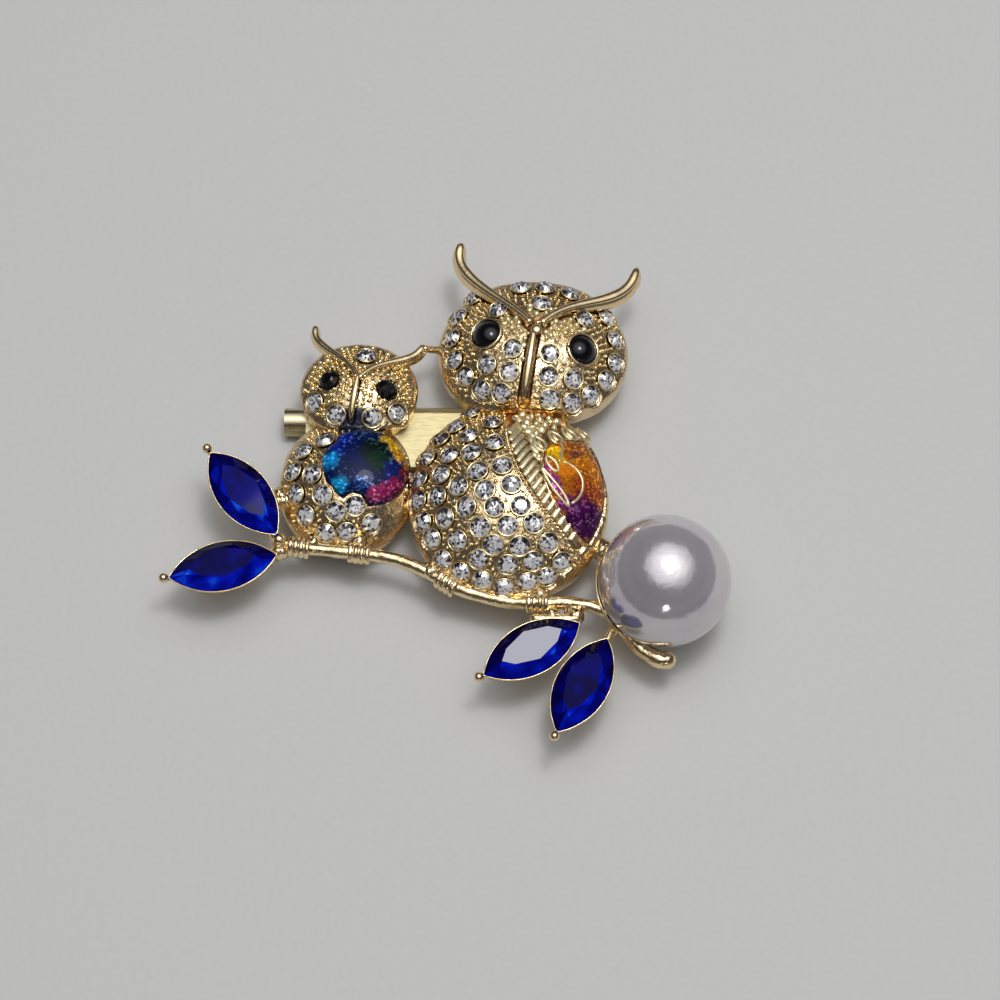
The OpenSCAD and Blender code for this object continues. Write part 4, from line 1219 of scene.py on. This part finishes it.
def enamel(name, dome, inside, middle, rise, shift, material):
    disk, share, angle = disk_grid(ENAMEL_CELLS)
    steps = np.arange(0.05, 9, 0.03)
    turns = np.linspace(-math.pi, math.pi, 361)
    reach = [steps[np.argmax(inside(middle + steps[:, None] * ray) < ENAMEL_GAP)] for ray in rays(turns)]
    flat = middle + disk * np.interp(angle, turns, reach)[:, None]
    centre = dome.centre + shift
    off = flat + dome.middle - centre[:2]
    crown = centre[2] + np.sqrt((dome.curve + rise) ** 2 - (off ** 2).sum(1))
    depth = np.clip(inside(flat) - ENAMEL_GAP, 0, MENISCUS)
    skin = dome.on(flat, -0.05)[:, 2]
    crown = skin + (crown - skin) * hump(MENISCUS - depth, MENISCUS)
    top = np.column_stack([flat + dome.middle, crown])
    points = np.concatenate([top, dome.on(flat, ENAMEL_FLOOR)])
    rim, upper = grid_rim(ENAMEL_CELLS), grid_faces(ENAMEL_CELLS)
    faces = upper + [[a + len(top) for a in face[::-1]] for face in upper] + wall_faces(rim, rim + len(top))
    print(name, len(points), "points")
    piece(name + "_cushion", (points, faces), material, (name,), marks={"share": np.tile(share, 2)})


# %% [markdown]
# ## The enamels' colours
# The large wing runs from yellow at its top through orange and red to purple at its foot; the small one
# from navy and cyan glitter on the left through green to gold, magenta and dark red on the right. Each
# colour is a soft spot at a place measured from its body's middle, over fine metal flecks whose sparkle
# is a painted highlight.

# %% Coloured resin
def enamel_finish(name, dome, ground, spots, fleck_colour, fleck_level):
    paint = Paint(name)
    place = paint.place()
    wander = paint.noise(1200.0, 3.0, place, "Color")
    sway = paint.vector("MULTIPLY_ADD", wander, (0.0016, 0.0016, 0.0), (-0.0008, -0.0008, 0.0))
    level = paint.vector("MULTIPLY", paint.vector("ADD", place, sway), (1.0, 1.0, 0.0))
    shade = ground
    for x, y, radius, *colour in spots:
        at = ((dome.middle[0] + x) * MM, (dome.middle[1] + y) * MM, 0.0)
        far = paint.vector("DISTANCE", level, at, out="Value")
        shade = paint.mix(shade, colour, 1 - far.between(0.45 * radius * MM, 1.1 * radius * MM))
    foil = paint.add("ShaderNodeTexVoronoi", {"Vector": place, "Scale": 4200.0}, "Color")
    chance = paint.add("ShaderNodeSeparateColor", {"Color": foil})
    dull = paint.add("ShaderNodeValToRGB", {"Fac": chance},
                     stops=[(0.0, (0.4,) * 3), (0.5, (0.9,) * 3), (1.0, (1.0,) * 3)])
    shade = paint.mix(shade, dull, 1.0, "MULTIPLY")
    # The flecks are metal in the resin, and their sparkle is a painted highlight: the colour made brighter
    # where they lie
    lit = paint.mix(paint.mix(shade, (3.2, 3.2, 3.2), 1.0, "MULTIPLY"), fleck_colour, 0.12)
    glint = chance.between(fleck_level, fleck_level + 0.05) * paint.attribute("share").between(0.3, 0.7)
    return paint.finish(Base_Color=paint.mix(shade, lit, glint), Metallic=glint * 0.4, Roughness=0.35,
                        Coat_Weight=0.2, Coat_Roughness=0.02, Specular_IOR_Level=0.06)


# Each spot is its place, its radius and its colour
AMBER_SPOTS = [(9.0, 5.2, 1.6, 0.42, 0.16, 0.01), (7.5, 5.0, 1.5, 0.30, 0.10, 0.015),
               (9.6, 2.3, 1.5, 0.50, 0.15, 0.01), (7.9, 2.8, 1.3, 0.62, 0.20, 0.01),
               (6.1, 1.5, 1.5, 0.80, 0.24, 0.01), (7.85, -0.1, 1.4, 0.36, 0.07, 0.01),
               (9.0, -0.6, 1.2, 0.30, 0.06, 0.015), (7.6, -1.5, 1.1, 0.20, 0.02, 0.03),
               (8.3, -2.8, 1.8, 0.060, 0.004, 0.070), (7.2, -3.3, 1.5, 0.075, 0.004, 0.085),
               (9.2, -3.2, 1.6, 0.050, 0.003, 0.065), (7.2, 3.7, 0.8, 0.20, 0.06, 0.03),
               (4.8, 3.5, 1.0, 0.95, 0.55, 0.01), (5.4, 2.4, 0.7, 0.90, 0.48, 0.01),
               (3.8, 1.2, 0.8, 0.30, 0.03, 0.26), (4.5, 0.0, 0.8, 0.28, 0.02, 0.26),
               (5.1, -1.0, 0.8, 0.20, 0.012, 0.22), (6.0, -2.3, 1.0, 0.12, 0.006, 0.14),
               # The small lilac spot at (7.0, -2.8) is a painted reflection
               (7.0, -2.8, 0.45, 0.20, 0.10, 0.22), (6.8, -4.6, 1.7, 0.060, 0.003, 0.075),
               (8.6, -4.2, 1.9, 0.045, 0.003, 0.060)]
BLUE_SPOTS = [(-0.3, 2.7, 1.8, 0.002, 0.018, 0.26), (1.1, 1.7, 1.8, 0.001, 0.007, 0.09),
              (3.2, 2.0, 2.0, 0.002, 0.010, 0.007), (3.7, 0.7, 1.6, 0.003, 0.026, 0.012),
              (4.9, -0.3, 1.1, 0.003, 0.014, 0.16), (1.8, -1.8, 1.1, 0.002, 0.026, 0.14),
              (-1.6, 0.8, 1.1, 0.008, 0.30, 0.75), (-0.4, -1.9, 1.0, 0.008, 0.33, 0.72),
              (-0.5, 6.2, 1.8, 0.001, 0.004, 0.05), (1.8, 6.2, 2.2, 0.001, 0.001, 0.006),
              (3.8, 5.6, 1.9, 0.001, 0.001, 0.004), (4.6, 3.7, 0.9, 0.62, 0.40, 0.01),
              (5.2, 2.8, 0.9, 0.70, 0.40, 0.01), (5.9, 1.8, 0.9, 0.65, 0.30, 0.01),
              (6.6, 1.2, 0.9, 0.45, 0.17, 0.01), (3.1, -2.9, 0.9, 0.36, 0.04, 0.14),
              (4.4, -2.4, 1.0, 0.32, 0.02, 0.12), (5.5, -1.5, 0.9, 0.30, 0.015, 0.10),
              (6.6, -0.2, 1.0, 0.13, 0.004, 0.012), (6.4, -2.6, 1.3, 0.10, 0.003, 0.01)]
AMBER = enamel_finish("amber_enamel", LARGE_BODY, (0.40, 0.12, 0.01), AMBER_SPOTS, (1.0, 0.62, 0.2), 0.8)
TEAL = enamel_finish("blue_enamel", SMALL_BODY, (0.002, 0.012, 0.08), BLUE_SPOTS, (0.5, 0.8, 0.9), 0.84)
enamel("large_wing_enamel", LARGE_BODY, large_wing_inside, [5.2, 1.5], 0.45, [0, 0, 0],
       AMBER)
enamel("small_wing_enamel", SMALL_BODY, small_wing_inside, [2.2, 0.6], 0.8, [1.1, 0.4, 0],
       TEAL)

# %% Gold wires in the large enamel
WIRE_R, WIRE_LIFT = 0.17, 0.4
oval = rays(around(25, closed=True)) * [0.95, 0.42] @ tilt(-56) + [4.45, 1.78]
strip = np.concatenate([bezier([[3.3, 1.3], [4.1, -0.9], [5.2, -1.9], [6.1, -2.7]], 20),
                        bezier([[6.1, -2.7], [6.2, -1.7], [4.7, -0.4], [3.3, 1.3]], 20)[1:]])
hook = bezier([[5.56, 2.25], [7.9, 2.0], [8.3, -0.8], [6.4, -2.3]], 24)
fork = bezier([[5.4, 4.6], [5.7, 3.7], [5.3, 3.0], [5.2, 2.2]], 16)
wires = [swept(LARGE_BODY.on(line, WIRE_LIFT), WIRE_R, sides=8) for line in (oval, strip, hook, fork)]
piece("wing_wires", joined(wires), SATIN)
print("wires:", len(wires))

# %% [markdown]
# ## The pearl and its cup
# The pearl is a ball drilled for its peg, with a lilac lustre under a clear coat. Its cup is a bowl that
# leans to the left, so that a sliver of its rim shows beside the body.

# %% Pearl and cup
def pearl_finish():
    paint = Paint("pearl_lustre")
    clouds = paint.noise(180.0)
    shade = paint.mix((0.68, 0.65, 0.665), (0.62, 0.575, 0.63), clouds.between(0.4, 0.7))
    return paint.finish(Base_Color=shade, Metallic=0.62, Roughness=0.1 + clouds * 0.06, Coat_Weight=0.3,
                        Coat_Roughness=0.05, Normal=paint.bump(paint.noise(900.0, 3.0), 0.45, 0.0001))


HOLE_R, HOLE_DEEP, PEG_R, PEG_L = 0.68, 5.0, 0.6, 5.0
hole_angle = math.degrees(math.asin(HOLE_R / PEARL_R))
pearl_profile = [(0.01, HOLE_DEEP - PEARL_R), (HOLE_R, HOLE_DEEP - PEARL_R),
                 *arc(0, PEARL_R - 0.005, hole_angle, 180, 72)]
piece("pearl_ball", turned(pearl_profile, PEARL_AT, sides=96), pearl_finish(), ("pearl",))

CUP_R, CUP_IN, CUP_LIP, CUP_RIM = PEARL_R + 0.68, PEARL_R + 0.08, 0.2, 52
CUP_LEAN, CUP_TURN = math.radians(34), math.radians(3)
cup_axis = (math.sin(CUP_LEAN) * math.cos(CUP_TURN), math.sin(CUP_LEAN) * math.sin(CUP_TURN),
            math.cos(CUP_LEAN))
rise = np.linspace(0, CUP_RIM, 30)
thick = np.interp(rise, [0, 20, CUP_RIM], [CUP_R, CUP_R, CUP_IN + CUP_LIP])
outside = [(r * math.sin(a), -r * math.cos(a)) for r, a in zip(thick, np.radians(rise))]
cup = turned(outside + arc(0, CUP_IN, CUP_RIM, 0.2, 30), PEARL_AT, cup_axis, 72)
peg = turned([(PEG_R, 0), (PEG_R, PEG_L), (PEG_R - 0.1, PEG_L + 0.1)], (*PEARL_AT[:2], 0.3), sides=24)
piece("pearl_cup", joined([cup, peg]), GOLD)
print("pearl radius in mm:", round(float(PEARL_R), 2))

# %% [markdown]
# ## The back
# The brushed plate, its rolled tube and the pin keep their solids, which already have the right shape.
# They only take their finishes. Three rivets hold the plate to the castings.

# %% Back plate, pin and rivets
def pin_finish():
    paint = Paint("pin_gold")
    patches = paint.noise(400.0)
    shade = paint.mix((0.84, 0.70, 0.44), (0.93, 0.80, 0.54), patches)
    return paint.finish(Base_Color=shade, Metallic=1.0, Roughness=0.2 + patches * 0.1)


for node, material in (("back_plate", BRUSHED), ("pin_clasp", pin_finish())):
    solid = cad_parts[node]
    solid.data.materials.clear()
    solid.data.materials.append(material)

TUBE_L = 31
RIVET_Y, PLATE_LOW = body_y + 1.03 * LARGE_R - 3.6, BACK_Z - 0.98
rivet = template("rivet", *turned([(0.95, -0.12), (0.95, 0), (0.7, 0.0), (0.7, 1.4)], (0, 0, 0), sides=24))
rivet_at = [(small_x + 0.08 * SMALL_R, RIVET_Y, PLATE_LOW),
            (body_x - 0.49 * LARGE_R, RIVET_Y - 0.7, PLATE_LOW),
            (small_x - SMALL_R + TUBE_L - 2.7, RIVET_Y, PLATE_LOW)]
stand("rivets", rivet, rivet_at, [(0, 0, 1)] * 3, GOLD)
bpy.data.objects.remove(rivet)

# %% [markdown]
# ## Floor, light and camera
# The floor is a plain pale sheet. A broad softbox and a small lamp hang over the brooch, and a small one
# stands low in front. The room has grey walls, a soft bright patch overhead and a dark band between them,
# so that the gold and the pearl have something dark to mirror.
# The camera looks from 66 degrees above the floor, as the photographer did.

# %% The stage
def floor_finish():
    paint = Paint("pale_floor")
    shade = paint.mix((0.60, 0.60, 0.59), (0.64, 0.64, 0.63), paint.noise(1500.0))
    return paint.finish(Base_Color=shade, Roughness=0.9)


FLOOR_HALF = 900.0
corners = [(x * FLOOR_HALF, y * FLOOR_HALF, 0) for x, y in ((-1, -1), (1, -1), (1, 1), (-1, 1))]
floor = new_thing("floor", new_mesh("floor", corners, [(0, 1, 2, 3)]))
floor.data.materials.append(floor_finish())


def turn_to(thing, at, aim):
    """Puts a light or the camera at a place, turned to another"""
    thing.location = Vector(at) * MM
    thing.rotation_euler = (Vector(aim) - Vector(at)).to_track_quat("-Z", "Y").to_euler()


def softbox(name, at, aim, size, power):
    light = bpy.data.lights.new(name, "AREA")
    light.shape, light.size, light.energy = "DISK", size * MM, power
    turn_to(new_thing(name, light), at, aim)


softbox("key", (62, 31, 420), (0, 0, 0), 150, 0.48)
softbox("lamp", (62, 31, 400), (0, 0, 0), 36, 0.09)
softbox("low", (20, -400, 150), (0, 0, 5), 70, 0.04)

WALLS, DARK, SOFT, OVERHEAD = (0.12, 0.12, 0.125), (0.06, 0.06, 0.07), (0.8, 0.8, 0.8), (1.75, 1.75, 1.75)
world = bpy.data.worlds.new("room")
world.use_nodes = True
room = Graph(world.node_tree)
way = room.add("ShaderNodeTexCoord", out="Generated")
near_up = room.vector("DOT_PRODUCT", way, Vector((0.08, 0.12, 1.0)).normalized(), out="Value")
sky = room.add("ShaderNodeValToRGB", {"Fac": near_up}, stops=[
    (0.0, WALLS), (0.26, WALLS), (0.42, DARK), (0.7, DARK), (0.84, SOFT), (1.0, OVERHEAD)])
room.feed(world.node_tree.nodes["Background"], {"Color": sky, "Strength": 1.0})
bpy.context.scene.view_settings.view_transform = "Standard"
bpy.context.scene.world = world

# %% The camera
ELEVATION, DISTANCE, LENS = math.radians(66), 260.0, 87.05
aim = Vector((body_x - 0.95, body_y, 5.0))
eye = aim + DISTANCE * Vector((0, -math.cos(ELEVATION), math.sin(ELEVATION)))
camera = new_thing("camera", bpy.data.cameras.new("camera"))
camera.data.lens, camera.data.clip_start, camera.data.clip_end = LENS, 0.01, 10
turn_to(camera, eye, aim)
bpy.context.scene.camera = camera
print("camera at mm:", [round(x, 1) for x in eye])

# %% [markdown]
